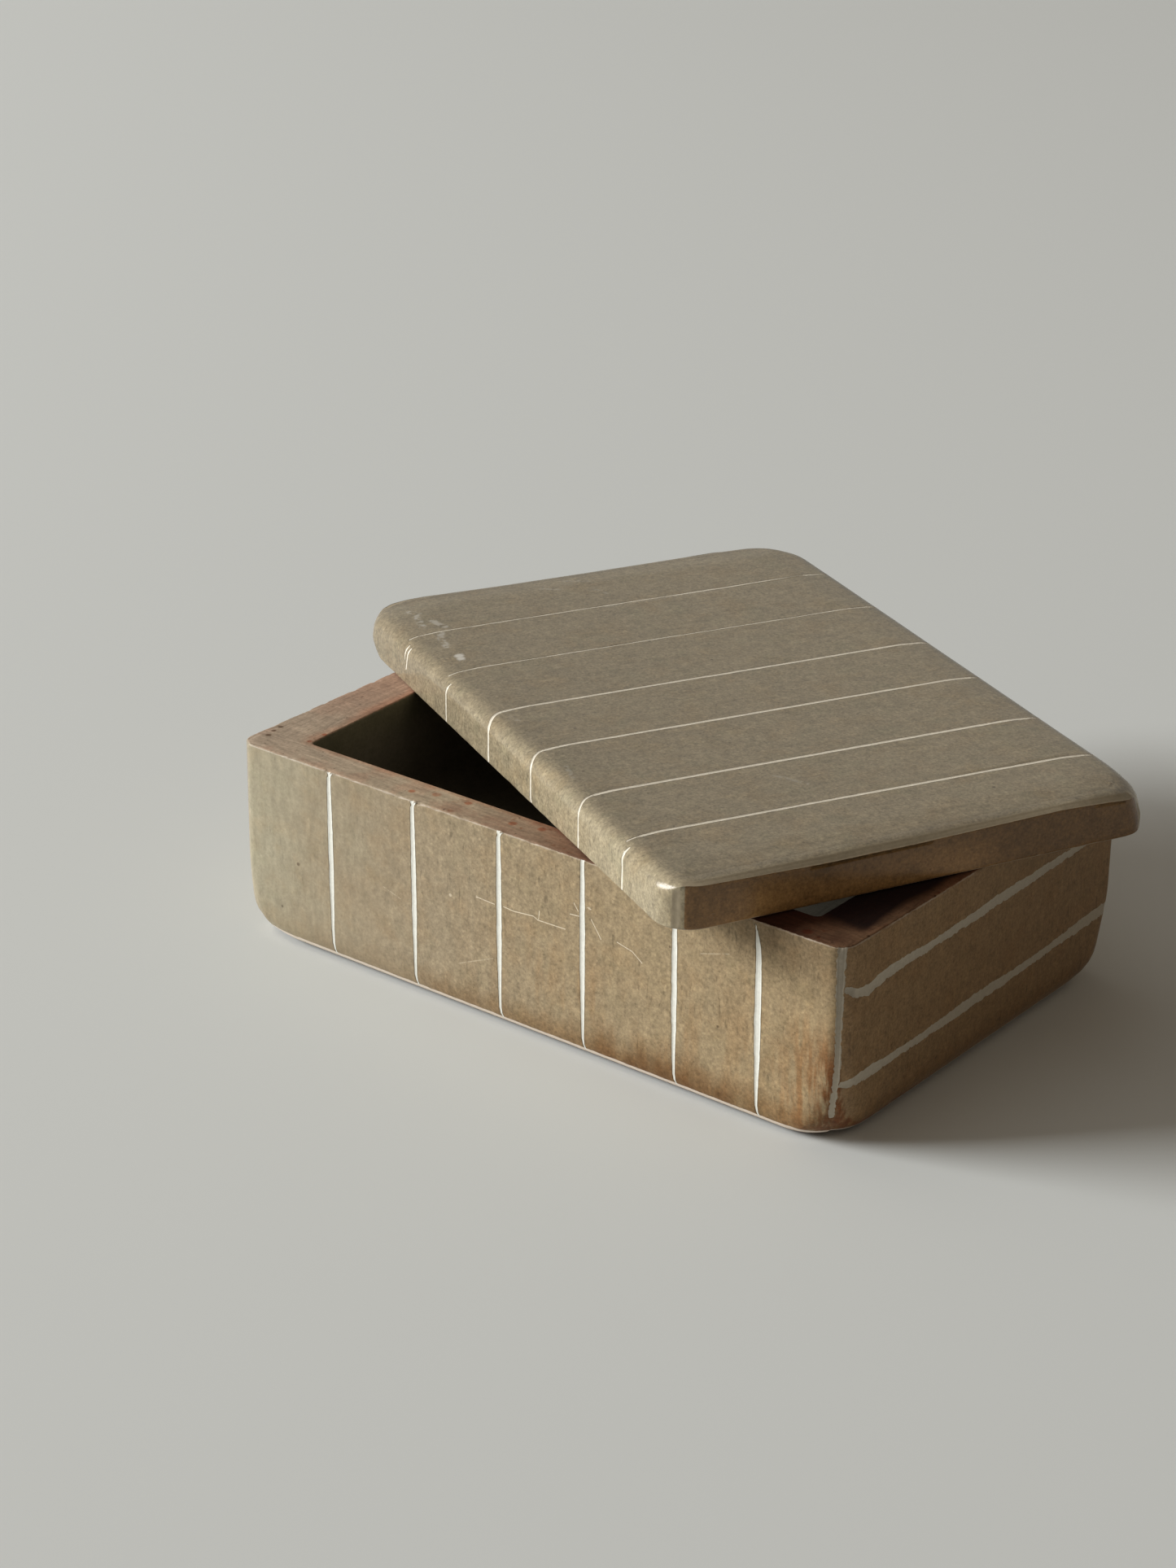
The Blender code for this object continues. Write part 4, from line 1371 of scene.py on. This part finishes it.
def dye_and_painted_shade(finish, place):
    """The dyed faces of the block, without its lines, with painted shade on the right end and the lid's
    painted shadow below the rim.
    """
    along, across, height = finish.parts(place)
    clouds = finish.noise(place, 0.015, 1.0)
    colour = finish.add("ShaderNodeValToRGB", {"stops": FRONT_DYE},
                        {"Fac": along / BLOCK_LENGTH + 0.5 + (clouds - 0.5) * 0.3})
    on_end = finish.step(abs(along), BLOCK_LENGTH / 2 - 0.0018, BLOCK_LENGTH / 2 - 0.0006)
    in_front = finish.step(across, 0.0, -0.030)
    on_right = finish.step(along, -0.010, 0.010)
    colour = finish.mix(on_end, colour, finish.mix(on_right, LEFT_END_DYE, RIGHT_END_DYE_AND_SHADE))
    warm_clouds = finish.noise(place, 0.006, 11.0, 4.0, 0.6)
    colour = finish.tinted(finish.step(warm_clouds, 0.44, 0.70), colour, (1.00, 0.955, 0.91))
    olive_clouds = finish.noise(place, 0.005, 17.0, 4.0, 0.6)
    colour = finish.tinted(finish.step(olive_clouds, 0.48, 0.70), colour, (0.96, 0.970, 0.955))

    ragged = (finish.noise(place, 0.003, 4.0) - 0.5) * 0.004
    foot = finish.step(height + ragged, 0.0095, 0.0022)
    foot_strength = finish.step(along + (clouds - 0.5) * 0.06, -0.055, 0.010) * 0.6 + 0.4
    colour = finish.tinted(foot * foot_strength, colour, FOOT_DYE)

    fibres = finish.drawn_out(place, (1, 1, 0.14), 0.0011, 6.0, 3.0)
    near_corner = (finish.step(along + (clouds - 0.5) * 0.012, 0.056, 0.071)
                   * in_front * (1 - on_end)
                   * finish.step(height + (clouds - 0.5) * 0.012, 0.034, 0.014))
    colour = finish.tinted(near_corner * finish.step(fibres, 0.30, 0.66), colour, FIBRE_DYE)
    pool = (finish.step(along + ragged * 0.6, 0.0665, 0.0728) * finish.step(height, 0.027, 0.014)
            * finish.step(fibres, 0.30, 0.56) * finish.step(on_end, 0.9, 0.3))
    colour = finish.tinted(pool * in_front, colour, POOL_DYE)
    # Painted shadow of the lid's near corner, on the front below the rim.
    painted_lid_shadow = finish.step(along + ragged, 0.040, 0.058) * finish.step(height + ragged * 2, 0.0270, 0.0415)
    colour = finish.tinted(painted_lid_shadow * in_front * (1 - on_end), colour, LID_SHADOW_PAINT)
    runs = finish.drawn_out(place, (1, 1, 0.22), 0.0042, 12.0, 3.0)
    washed = (finish.step(runs, 0.47, 0.66) * finish.step(height + (clouds - 0.5) * 0.02, 0.034, 0.012)
              * finish.step(along, -0.030, 0.010) * (1 - on_end))
    colour = finish.tinted(washed, colour, RUN_DYE)
    puddle = (finish.step(abs(along - 0.036 + ragged), 0.030, 0.008)
              * finish.step(height + ragged, 0.0125, 0.0030)
              * (1 - on_end))
    return finish.tinted(puddle * finish.step(runs, 0.30, 0.52), colour, PUDDLE_DYE)


print("dye colours ready")

# %% Grain, specks, wear and painted light at the foot
# The scratches that cross the front, in millimetres across and up.
CROSSING_SCRATCHES = [
    on_front((-11.8, 26.8), (-7.3, 26.6)),
    on_front((-5.0, 26.8), (-2.5, 26.6), (2.5, 27.1), (3.6, 26.6), (10.4, 26.8)),
    on_front((4.0, 28.6), (3.8, 26.7)),
    on_front((12.5, 33.0), (13.5, 31.6)),
    on_front((11.6, 30.4), (13.7, 30.6)),
    on_front((15.8, 33.1), (16.6, 32.9)),
    on_front((16.7, 30.8), (17.7, 29.4), (19.1, 27.4)),
    on_front((23.0, 28.0), (26.6, 27.2), (29.0, 25.5)),
]
FAINT_SCRATCHES = [on_front((-16.5, 10.7), (-7.7, 14.6)), on_front((42.7, 31.9), (49.2, 33.9)),
                   on_front((-36.0, 21.5), (-31.5, 20.2))]
PALE_SPOTS = [((-0.0185, 0, 0.0251), 0.0005), ((0.0163, 0, 0.0330), 0.0004), ((-0.0117, 0, 0.0268), 0.0004)]
DARK_SPOTS = [((-0.0592, 0, 0.0195), 0.00055), ((0.0355, 0, 0.0310), 0.0004), ((-0.0640, 0, 0.0085), 0.0004),
              ((0.0470, 0, 0.0180), 0.0004)]
SCRATCH_HALF = 0.00016
SCRATCHED_STONE = (0.74, 0.64, 0.48)
DARK_SPECK = (0.09, 0.06, 0.04)


def grain_and_specks(finish, place, colour):
    """Streaks of grain, fine speckle, dark and pale flecks: what makes the dye look like stone."""
    grain = finish.drawn_out(place, (1, 1, 0.25), 0.0015, 21.0, 3.0)
    mottle = finish.noise(place, 0.0040, 22.0, 4.0, 0.62)
    speckle = finish.noise(place, 0.00055, 23.0, 2.0, 0.6)
    streaklets = finish.drawn_out(place, (1, 1, 0.28), 0.0007, 24.0, 1.0)
    patches = finish.noise(place, 0.012, 25.0)
    flecks = finish.noise(place, 0.0010, 26.0, 1.0)
    granules = finish.noise(place, 0.0011, 27.0, 3.0, 0.7)
    coarse = finish.step(finish.parts(place)[0], -0.055, -0.005) * 0.6 + 0.4
    tone = (finish.varied(grain, 0.24) * finish.varied(mottle, 0.17) * (1 + (speckle - 0.5) * coarse)
            * (1 + (granules - 0.5) * coarse)
            * (1 - finish.step(streaklets, 0.58, 0.74) * finish.step(patches, 0.42, 0.62) * coarse * 0.32)
            * (1 - finish.step(flecks, 0.67, 0.76) * coarse * 0.2)
            * (1 + finish.step(flecks, 0.33, 0.24) * 0.12))
    return finish.scaled(colour, tone), grain, speckle


def front_marks_on(finish, place, colour):
    """The scratches and specks that the front has collected. Returns the colour and the scratches."""
    along, across, height = finish.parts(place)
    flat = finish.vector('MULTIPLY', place, (1, 0, 1))
    on_face = finish.step(across, -BLOCK_WIDTH / 2 + 0.003, -BLOCK_WIDTH / 2 + 0.001)
    broken = finish.step(finish.noise(place, 0.0009, 31.0, 1.0), 0.34, 0.5)
    sharp = finish.scratches(flat, CROSSING_SCRATCHES, SCRATCH_HALF) * on_face * (broken * 0.5 + 0.5)
    faint = finish.scratches(flat, FAINT_SCRATCHES, SCRATCH_HALF) * on_face * broken * 0.35
    pale = finish.spots(flat, PALE_SPOTS) * on_face * 0.7
    dark = finish.spots(flat, DARK_SPOTS) * on_face
    colour = finish.mix(sharp.most(faint).most(pale) * 0.95, colour, SCRATCHED_STONE)
    return finish.mix(dark * 0.65, colour, DARK_SPECK), sharp


def worn_edges_and_painted_foot_light(finish, place, colour, rim_reach):
    """The thin pale line along the rim's outer edge, and the worn edge of the foot: a pale line that is partly
    painted highlight, over painted shade below it.
    """
    along, across, height = finish.parts(place)
    ragged = (finish.noise(place, 0.0016, 41.0, 2.0) - 0.5) * 0.0009
    there = finish.step(finish.noise(place, 0.007, 42.0, 2.0), 0.33, 0.52)
    rim_edge = finish.step(abs(rim_reach + ragged + 0.0001), 0.00040, 0.00016) * there
    low = height + ragged * 0.35
    # Painted shade on the bare stone below the foot's edge, and a painted highlight on the worn line at that
    # edge.
    heel = finish.step(low, 0.00135, 0.00110)
    heel_wear_and_highlight = finish.step(abs(low - 0.00185), 0.00060, 0.00035)
    colour = finish.mix(heel * 0.8, finish.mix(rim_edge * 0.42, colour, RAW_EDGE), HEEL_SHADE)
    return finish.mix(heel_wear_and_highlight * 0.9, colour, HEEL_WEAR_AND_HIGHLIGHT)


print("grain and wear ready")

# %% Bare rim and dyed hollow
def bare_rim_and_painted_shade(finish, place, hollow_reach):
    """Raw pinkish stone, with the file's streaks along each wall, and stain deepened by painted shade at the
    right, under the lid.
    """
    along, across, height = finish.parts(place)
    clouds = finish.noise(place, 0.008, 51.0, 3.0)
    colour = finish.add("ShaderNodeValToRGB", {"stops": RIM_STONE_AND_SHADE},
                        {"Fac": along / BLOCK_LENGTH + 0.5 + (clouds - 0.5) * 0.2})
    front_or_back = finish.step(abs(across), BLOCK_WIDTH / 2 - FRONT_WALL - 0.001,
                                BLOCK_WIDTH / 2 - FRONT_WALL + 0.001)
    along_x = finish.drawn_out(place, (0.15, 1, 1), 0.0008, 52.0, 3.0)
    along_y = finish.drawn_out(place, (1, 0.15, 1), 0.0008, 52.0, 3.0)
    streaks = along_x * front_or_back + along_y * (1 - front_or_back)
    diagonal = finish.noise(finish.add("ShaderNodeMapping", inputs={
        "Vector": place, "Rotation": (0, 0, 0.6), "Scale": (0.12, 1, 1)}), 0.0009, 53.0, 2.0)
    pink = finish.step(across + (clouds - 0.5) * 0.03, -0.036, -0.006)
    pink = pink.most(finish.step(clouds, 0.48, 0.62) * 0.6)
    colour = finish.tinted(pink, colour, RIM_PINK)
    inner = finish.step(hollow_reach + (clouds - 0.5) * 0.003, -0.0026, -0.0006)
    colour = finish.tinted(inner * 0.8, colour, (1.08, 0.86, 0.78))
    red = finish.step(finish.noise(place, 0.0030, 54.0, 2.0), 0.60, 0.72) * finish.step(along, -0.040, -0.015)
    colour = finish.tinted(red, colour, RIM_STAIN)
    # Spilt dye and painted shade together: near black on the right wall's rim, under the lid.
    from_edge = BLOCK_LENGTH / 2 - along + (clouds - 0.5) * 0.006
    spill_and_shade = (finish.step(from_edge, 0.0004, 0.0036) * finish.step(along, 0.058, 0.0625)
             * finish.step(across + (clouds - 0.5) * 0.010, -0.0430, -0.0360))
    colour = finish.mix(spill_and_shade * 0.96, colour, RIM_SPILL_AND_SHADE)
    flat = finish.vector('MULTIPLY', place, (1, 1, 0))
    colour = finish.tinted(finish.spots(flat, RIM_CHIPS), colour, (0.40, 0.34, 0.30))
    reddened = finish.spots(flat, RIM_SPOTS) * finish.step(clouds, 0.3, 0.5)
    colour = finish.tinted(reddened, colour, (0.85, 0.50, 0.40))
    specks = finish.step(finish.noise(place, 0.0009, 55.0, 1.0), 0.70, 0.76)
    tone = (finish.varied(streaks, 0.50) * finish.varied(diagonal, 0.26)
            * finish.varied(finish.noise(place, 0.0006, 56.0, 2.0), 0.36) * (1 - specks * 0.4))
    return finish.scaled(colour, tone), streaks


def dyed_hollow(finish, place, hollow_reach):
    """Charcoal dye, thinner and browner near the top of the walls."""
    clouds = finish.noise(place, 0.006, 61.0, 3.0)
    deep = finish.step(hollow_reach + (clouds - 0.5) * 0.008, 0.001, 0.010)
    grains = finish.noise(place, 0.0008, 62.0)
    return finish.scaled(finish.mix(deep, HOLLOW_TOP, HOLLOW_DEEP),
                         finish.varied(clouds, 0.25) * finish.varied(grains, 0.25))


def block_finish():
    """The whole finish of the block."""
    finish = Finish("dyed soapstone")
    place = finish.add("ShaderNodeTexCoord", output="Object")
    rim_reach, hollow_reach, line_gap = [
        finish.named(name) for name in ("rim_reach", "hollow_reach", "line_gap")]
    skin, grain, speckle = grain_and_specks(finish, place, dye_and_painted_shade(finish, place))
    skin, scratches = front_marks_on(finish, place, skin)
    at_corner = finish.step(abs(finish.parts(place)[0]), BLOCK_LENGTH / 2 - 0.0075, BLOCK_LENGTH / 2 - 0.0065)
    crumbs = finish.noise(place, 0.0014, 73.0, 3.0, 0.6) - 0.5
    line_gap = line_gap + crumbs * at_corner * 0.0014
    # Painted shade: a dark edge along each line, where the groove's wall would be in shade, weaker at the
    # corners.
    painted_groove_shade = finish.step(line_gap, 0.00028, 0.00006)
    skin = finish.scaled(skin, 1 - painted_groove_shade * (0.48 - at_corner * 0.42))
    skin = worn_edges_and_painted_foot_light(finish, place, skin, rim_reach)
    line = finish.step(line_gap, 0.00004, -0.00004)
    powder = finish.varied(finish.noise(place, 0.0007, 71.0, 2.0), 0.16)
    along, across, height = finish.parts(place)
    on_corner = finish.step(abs(across), BLOCK_WIDTH / 2 - 0.0042, BLOCK_WIDTH / 2 - 0.0030) * at_corner
    stone = finish.scaled(finish.mix(at_corner, LINE_STONE, END_LINE_STONE),
                          1 - on_corner * finish.step(height, 0.010, 0.038) * 0.24)
    skin = finish.mix(line, skin, finish.scaled(stone, powder))
    rim, streaks = bare_rim_and_painted_shade(finish, place, hollow_reach)
    edge = (finish.noise(place, 0.0012, 72.0, 2.0) - 0.5) * 0.0007
    on_rim = finish.step(rim_reach + edge, -0.0001, 0.0002)
    in_hollow = finish.step(hollow_reach + edge, -0.0003, 0.0003)
    colour = finish.mix(on_rim, skin, rim)
    finish.feed("Base Color", finish.mix(in_hollow, colour, dyed_hollow(finish, place, hollow_reach)))
    dull = line.most(on_rim)
    dusty = on_rim * finish.step(along, 0.010, 0.045)
    finish.feed("Roughness", BLOCK_ROUGHNESS + (grain - 0.5) * 0.16 + dull * 0.28 + dusty * 0.34)
    finish.roughen(speckle * 0.5 + grain * 0.5 - scratches * 1.2 + streaks * on_rim * 1.5)
    finish.shader.inputs["Specular IOR Level"].default_value = BLOCK_GLOSS
    return finish.material


block_stone = block_finish()
print("block finish has", len(block_stone.node_tree.nodes), "nodes")

# %% [markdown]
# ## The lid's finish
# The lid has the same dye, rubbed more: its side and rounded edge are paler and creamier, and the
# top is a greyer khaki. The top is darkest in a soft zone just inside the near edge. The right end's
# dark brown is partly painted shade, lightened low in its middle by painted light, and painted shade
# runs beside each line and above each end's band. A Mapping node turns the block's axes into the
# lid's own, so that grain and scuffs lie square to the lid.

# %% Lid finish
LID_GLOSS = 0.35              # waxed and handled more than the block, and so smoother
LID_ROUGHNESS = 0.25
LID_TOP_DYE = (0.275, 0.231, 0.156)
LID_SIDE_LEFT = (0.272, 0.226, 0.150)
LID_SIDE_RIGHT = (0.372, 0.318, 0.213)
# The right end's dark brown is partly painted shade, as that end faces away from the window.
LID_RIGHT_END_DYE_AND_SHADE = (0.172, 0.096, 0.037)
LID_LEFT_END_DYE = (0.262, 0.212, 0.138)
LID_LINE_STONE = (0.84, 0.79, 0.67)
LID_BAND_STONE = (0.315, 0.265, 0.182)
UNDERSIDE_STONE = (0.42, 0.33, 0.24)
UNDERSIDE_STAIN = (0.34, 0.24, 0.17)
SCUFF_STONE = (0.62, 0.60, 0.54)
SPECK_STONE = (0.09, 0.07, 0.05)
# Scuffs, specks and the white spot are in millimetres from the lid's front left corner.
SCUFFS = [[(9.5, 7.1, 0), (11.5, 8.6, 0), (14.0, 7.4, 0), (19.1, 6.7, 0)],
          [(16.4, 9.8, 0), (18.5, 10.1, 0), (21.0, 11.0, 0)],
          [(24.1, 8.8, 0), (27.5, 7.4, 0), (31.5, 7.2, 0)],
          [(36.5, 7.9, 0), (39.5, 7.2, 0)]]
FAINT_SCUFFS = [[(8.0, 38.0, 0), (10.5, 42.5, 0)], [(5.5, 45.5, 0), (8.0, 50.5, 0)],
                [(13.5, 49.5, 0), (16.5, 51.0, 0)], [(70.5, 4.6, 0), (74.0, 5.4, 0)],
                [(98.0, 5.0, 0), (103.0, 4.2, 0)], [(118.0, 40.0, 0), (124.0, 44.0, 0)]]
LID_SPECKS = [((139.5, 76.1, 0), 0.5), ((82.0, 14.0, 0), 0.45),
              ((101.5, 7.0, 0), 0.4), ((60.0, 55.0, 0), 0.4)]
WHITE_SPOT = [((37.4, 7.5, 0), 1.4), ((38.9, 7.3, 0), 1.2)]
SCUFF_HALF = 1.1
FAINT_SCUFF_HALF = 0.7


def lid_finish():
    """The whole finish of the lid."""
    finish = Finish("dyed soapstone of the lid")
    place = finish.add("ShaderNodeMapping", {"vector_type": 'TEXTURE'}, {
        "Vector": finish.add("ShaderNodeTexCoord", output="Object"),
        "Location": LID_PLACE.translation, "Rotation": (0, 0, LID_TURN)})
    side_reach, over_arris, end_gap, line_gap = [
        finish.named(name) for name in ("side_reach", "over_arris", "end_gap", "line_gap")]
    along, across, height = finish.parts(place)
    clouds = finish.noise(place, 0.016, 81.0, 3.0)
    soft = (clouds - 0.5) * 0.006
    on_top = finish.step(side_reach + soft, 0.0085, 0.0135) * (1 - finish.step(across, -0.030, -0.050) * 0.12)
    side = finish.mix(finish.step(along, -0.075, 0.055), LID_SIDE_LEFT, LID_SIDE_RIGHT)
    colour = finish.mix(on_top, side, LID_TOP_DYE)
    roll = (finish.noise(place, 0.0016, 95.0, 3.0) - 0.5) * 0.0012
    # Painted shade: a greyer, darker strip where the top rolls over just above the band on each end.
    painted_shade_above_band = finish.step(end_gap + roll, 0.0055, 0.0022) * finish.step(over_arris, 0.0008, 0.0016)
    colour = finish.tinted(painted_shade_above_band, colour, (0.84, 0.84, 0.86))
    on_end = (finish.step(end_gap, 0.00130, 0.00112)
              * finish.step(over_arris + roll * 0.25, 0.00012, 0.00000))
    from_near = across + LID_WIDTH / 2
    ripple = finish.drawn_out(place, (1, 0.16, 1), 0.0016, 82.0, 3.0)
    dark_zone = (finish.step(from_near + soft, 0.0020, 0.0050)
                 * finish.step(from_near + soft * 1.5, 0.0150, 0.0060)
                 * finish.step(along, -0.060, 0.020))
    colour = finish.tinted(dark_zone * (0.35 + ripple * 0.9), colour, (0.80, 0.80, 0.80))
    warm = finish.step(finish.noise(place, 0.008, 83.0, 4.0, 0.6), 0.46, 0.70)
    colour = finish.tinted(warm, colour, (1.00, 0.955, 0.90))
    grey = finish.step(finish.noise(place, 0.007, 84.0, 4.0, 0.6), 0.48, 0.70)
    colour = finish.tinted(grey, colour, (0.95, 0.975, 0.965))

    grain = finish.drawn_out(place, (1, 0.22, 0.4), 0.0012, 85.0, 3.0)
    mottle = finish.noise(place, 0.0040, 86.0, 4.0, 0.62)
    speckle = finish.noise(place, 0.00055, 87.0, 2.0, 0.6)
    flecks = finish.noise(place, 0.0010, 88.0, 1.0)
    granules = finish.noise(place, 0.0011, 93.0, 3.0, 0.7)
    streaks_down = finish.drawn_out(place, (1, 0.25, 0.25), 0.0010, 94.0, 2.0)
    sideways = 1 - on_top
    tone = (finish.varied(grain, 0.20) * finish.varied(mottle, 0.18)
            * (1 + (speckle - 0.5) * (1.0 + sideways * 0.2))
            * (1 + (granules - 0.5) * (1.0 + sideways * 0.1))
            * (1 - finish.step(streaks_down, 0.56, 0.72) * (1 - on_top) * 0.22)
            * (1 - finish.step(flecks, 0.67, 0.76) * 0.25) * (1 + finish.step(flecks, 0.33, 0.23) * 0.18))
    colour = finish.scaled(colour, tone)

    flat = finish.vector('ADD', finish.scaled(finish.vector('MULTIPLY', place, (1, 1, 0)), 1000),
                         (LID_LENGTH * 500, LID_WIDTH * 500, 0))
    broken = finish.step(finish.noise(place, 0.0012, 89.0, 2.0), 0.38, 0.60)
    scuffed = finish.scratches(flat, SCUFFS, SCUFF_HALF) * broken * 0.50
    faint = finish.scratches(flat, FAINT_SCUFFS, FAINT_SCUFF_HALF) * broken * 0.20
    white = finish.spots(flat, WHITE_SPOT)
    topmost = finish.step(side_reach, 0.0085, 0.0100)
    colour = finish.mix(scuffed.most(faint).most(white) * topmost, colour, SCUFF_STONE)
    colour = finish.mix(finish.spots(flat, LID_SPECKS) * topmost * 0.7, colour, SPECK_STONE)

    at_end = finish.step(end_gap, 0.0080, 0.0060)
    # Painted shade: a dark edge along each line, where the groove's wall would be in shade, weaker on the
    # ends.
    painted_groove_shade = finish.step(line_gap, 0.00020, 0.00004)
    colour = finish.scaled(colour, 1 - painted_groove_shade * (0.35 - at_end * 0.30))
    softness = at_end * 0.00035
    into_line = (line_gap - 0.00003 - softness) / (softness + 0.00007)
    line = finish.step(into_line + roll * at_end * 400, 0.0, -1.0)
    powder = finish.varied(finish.noise(place, 0.0009, 90.0, 2.0), 0.25)
    stone = finish.mix(at_end, LID_LINE_STONE, LID_BAND_STONE)
    colour = finish.mix(line, colour, finish.scaled(stone, powder))
    # Painted light: the right end is lightened low in its middle, where the block below shades it, and by a
    # quarter towards its front.
    painted_light_on_end = (finish.step(height + roll, 0.0095, 0.0015) * finish.step(abs(across + 0.012), 0.036, 0.016)
              + finish.step(across, -0.020, -0.045) * 0.25)
    end_dye_and_shade = finish.mix(finish.step(along, -0.010, 0.010), LID_LEFT_END_DYE, LID_RIGHT_END_DYE_AND_SHADE)
    colour = finish.mix(on_end * (1 - line * finish.step(height, 0.0070, 0.0060)), colour,
                        finish.scaled(end_dye_and_shade, tone * (1 + painted_light_on_end)))
    under = finish.step(side_reach, 0.0002, -0.0004)
    raw, streaks = raw_underside(finish, place)
    finish.feed("Base Color", finish.mix(under, colour, raw))
    finish.feed("Roughness", LID_ROUGHNESS + (grain - 0.5) * 0.14 + line.most(under) * 0.30)
    finish.roughen(speckle * 0.5 + grain * 0.5 + streaks * under)
    finish.shader.inputs["Specular IOR Level"].default_value = LID_GLOSS
    return finish.material


def raw_underside(finish, place):
    """The lid's underside: raw stone like the rim, filed along its length."""
    streaks = finish.drawn_out(place, (0.12, 1, 1), 0.0012, 91.0, 3.0)
    stains = finish.step(finish.noise(place, 0.014, 92.0, 3.0), 0.45, 0.65)
    colour = finish.mix(stains, UNDERSIDE_STONE, UNDERSIDE_STAIN)
    return finish.scaled(colour, finish.varied(streaks, 0.25)), streaks


lid_stone = lid_finish()
print("lid finish has", len(lid_stone.node_tree.nodes), "nodes")

# %% [markdown]
# ## Putting it together
# The tree runs once on each piece, with its own lines and finish. Then the two finished skins
# take the places of the plain solids and ride on their bodies: the block on the box, and the lid
# on the body that lifts.

# %% Scratch and ride
HAND_WORK = {"Groove_depth": 0.00010, "Ragged_share": 0.22, "Ragged_size": 0.0016, "Wander": 0.00012,
             "Wave_height": 0.00018, "Wave_size": 0.03, "Chip_size": 0.0022}
BLOCK_CHIP_DEPTH = 0.0005
LID_CHIP_DEPTH = 0.0003

scratch(block, block_lines, block_stone, Chip_depth=BLOCK_CHIP_DEPTH, Seed=3.0, **HAND_WORK)
scratch(lid, lid_lines, lid_stone, Chip_depth=LID_CHIP_DEPTH, Seed=5.0, **HAND_WORK)
for piece, node, body, slot in ((block, "box_body", "box", "body_stone"), (lid, "lid", "lid", "lid_stone")):
    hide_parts(node)
    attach(piece, body)
    piece.data.calc_loop_triangles()
    print(piece.name, "has", len(piece.data.loop_triangles), "triangles")
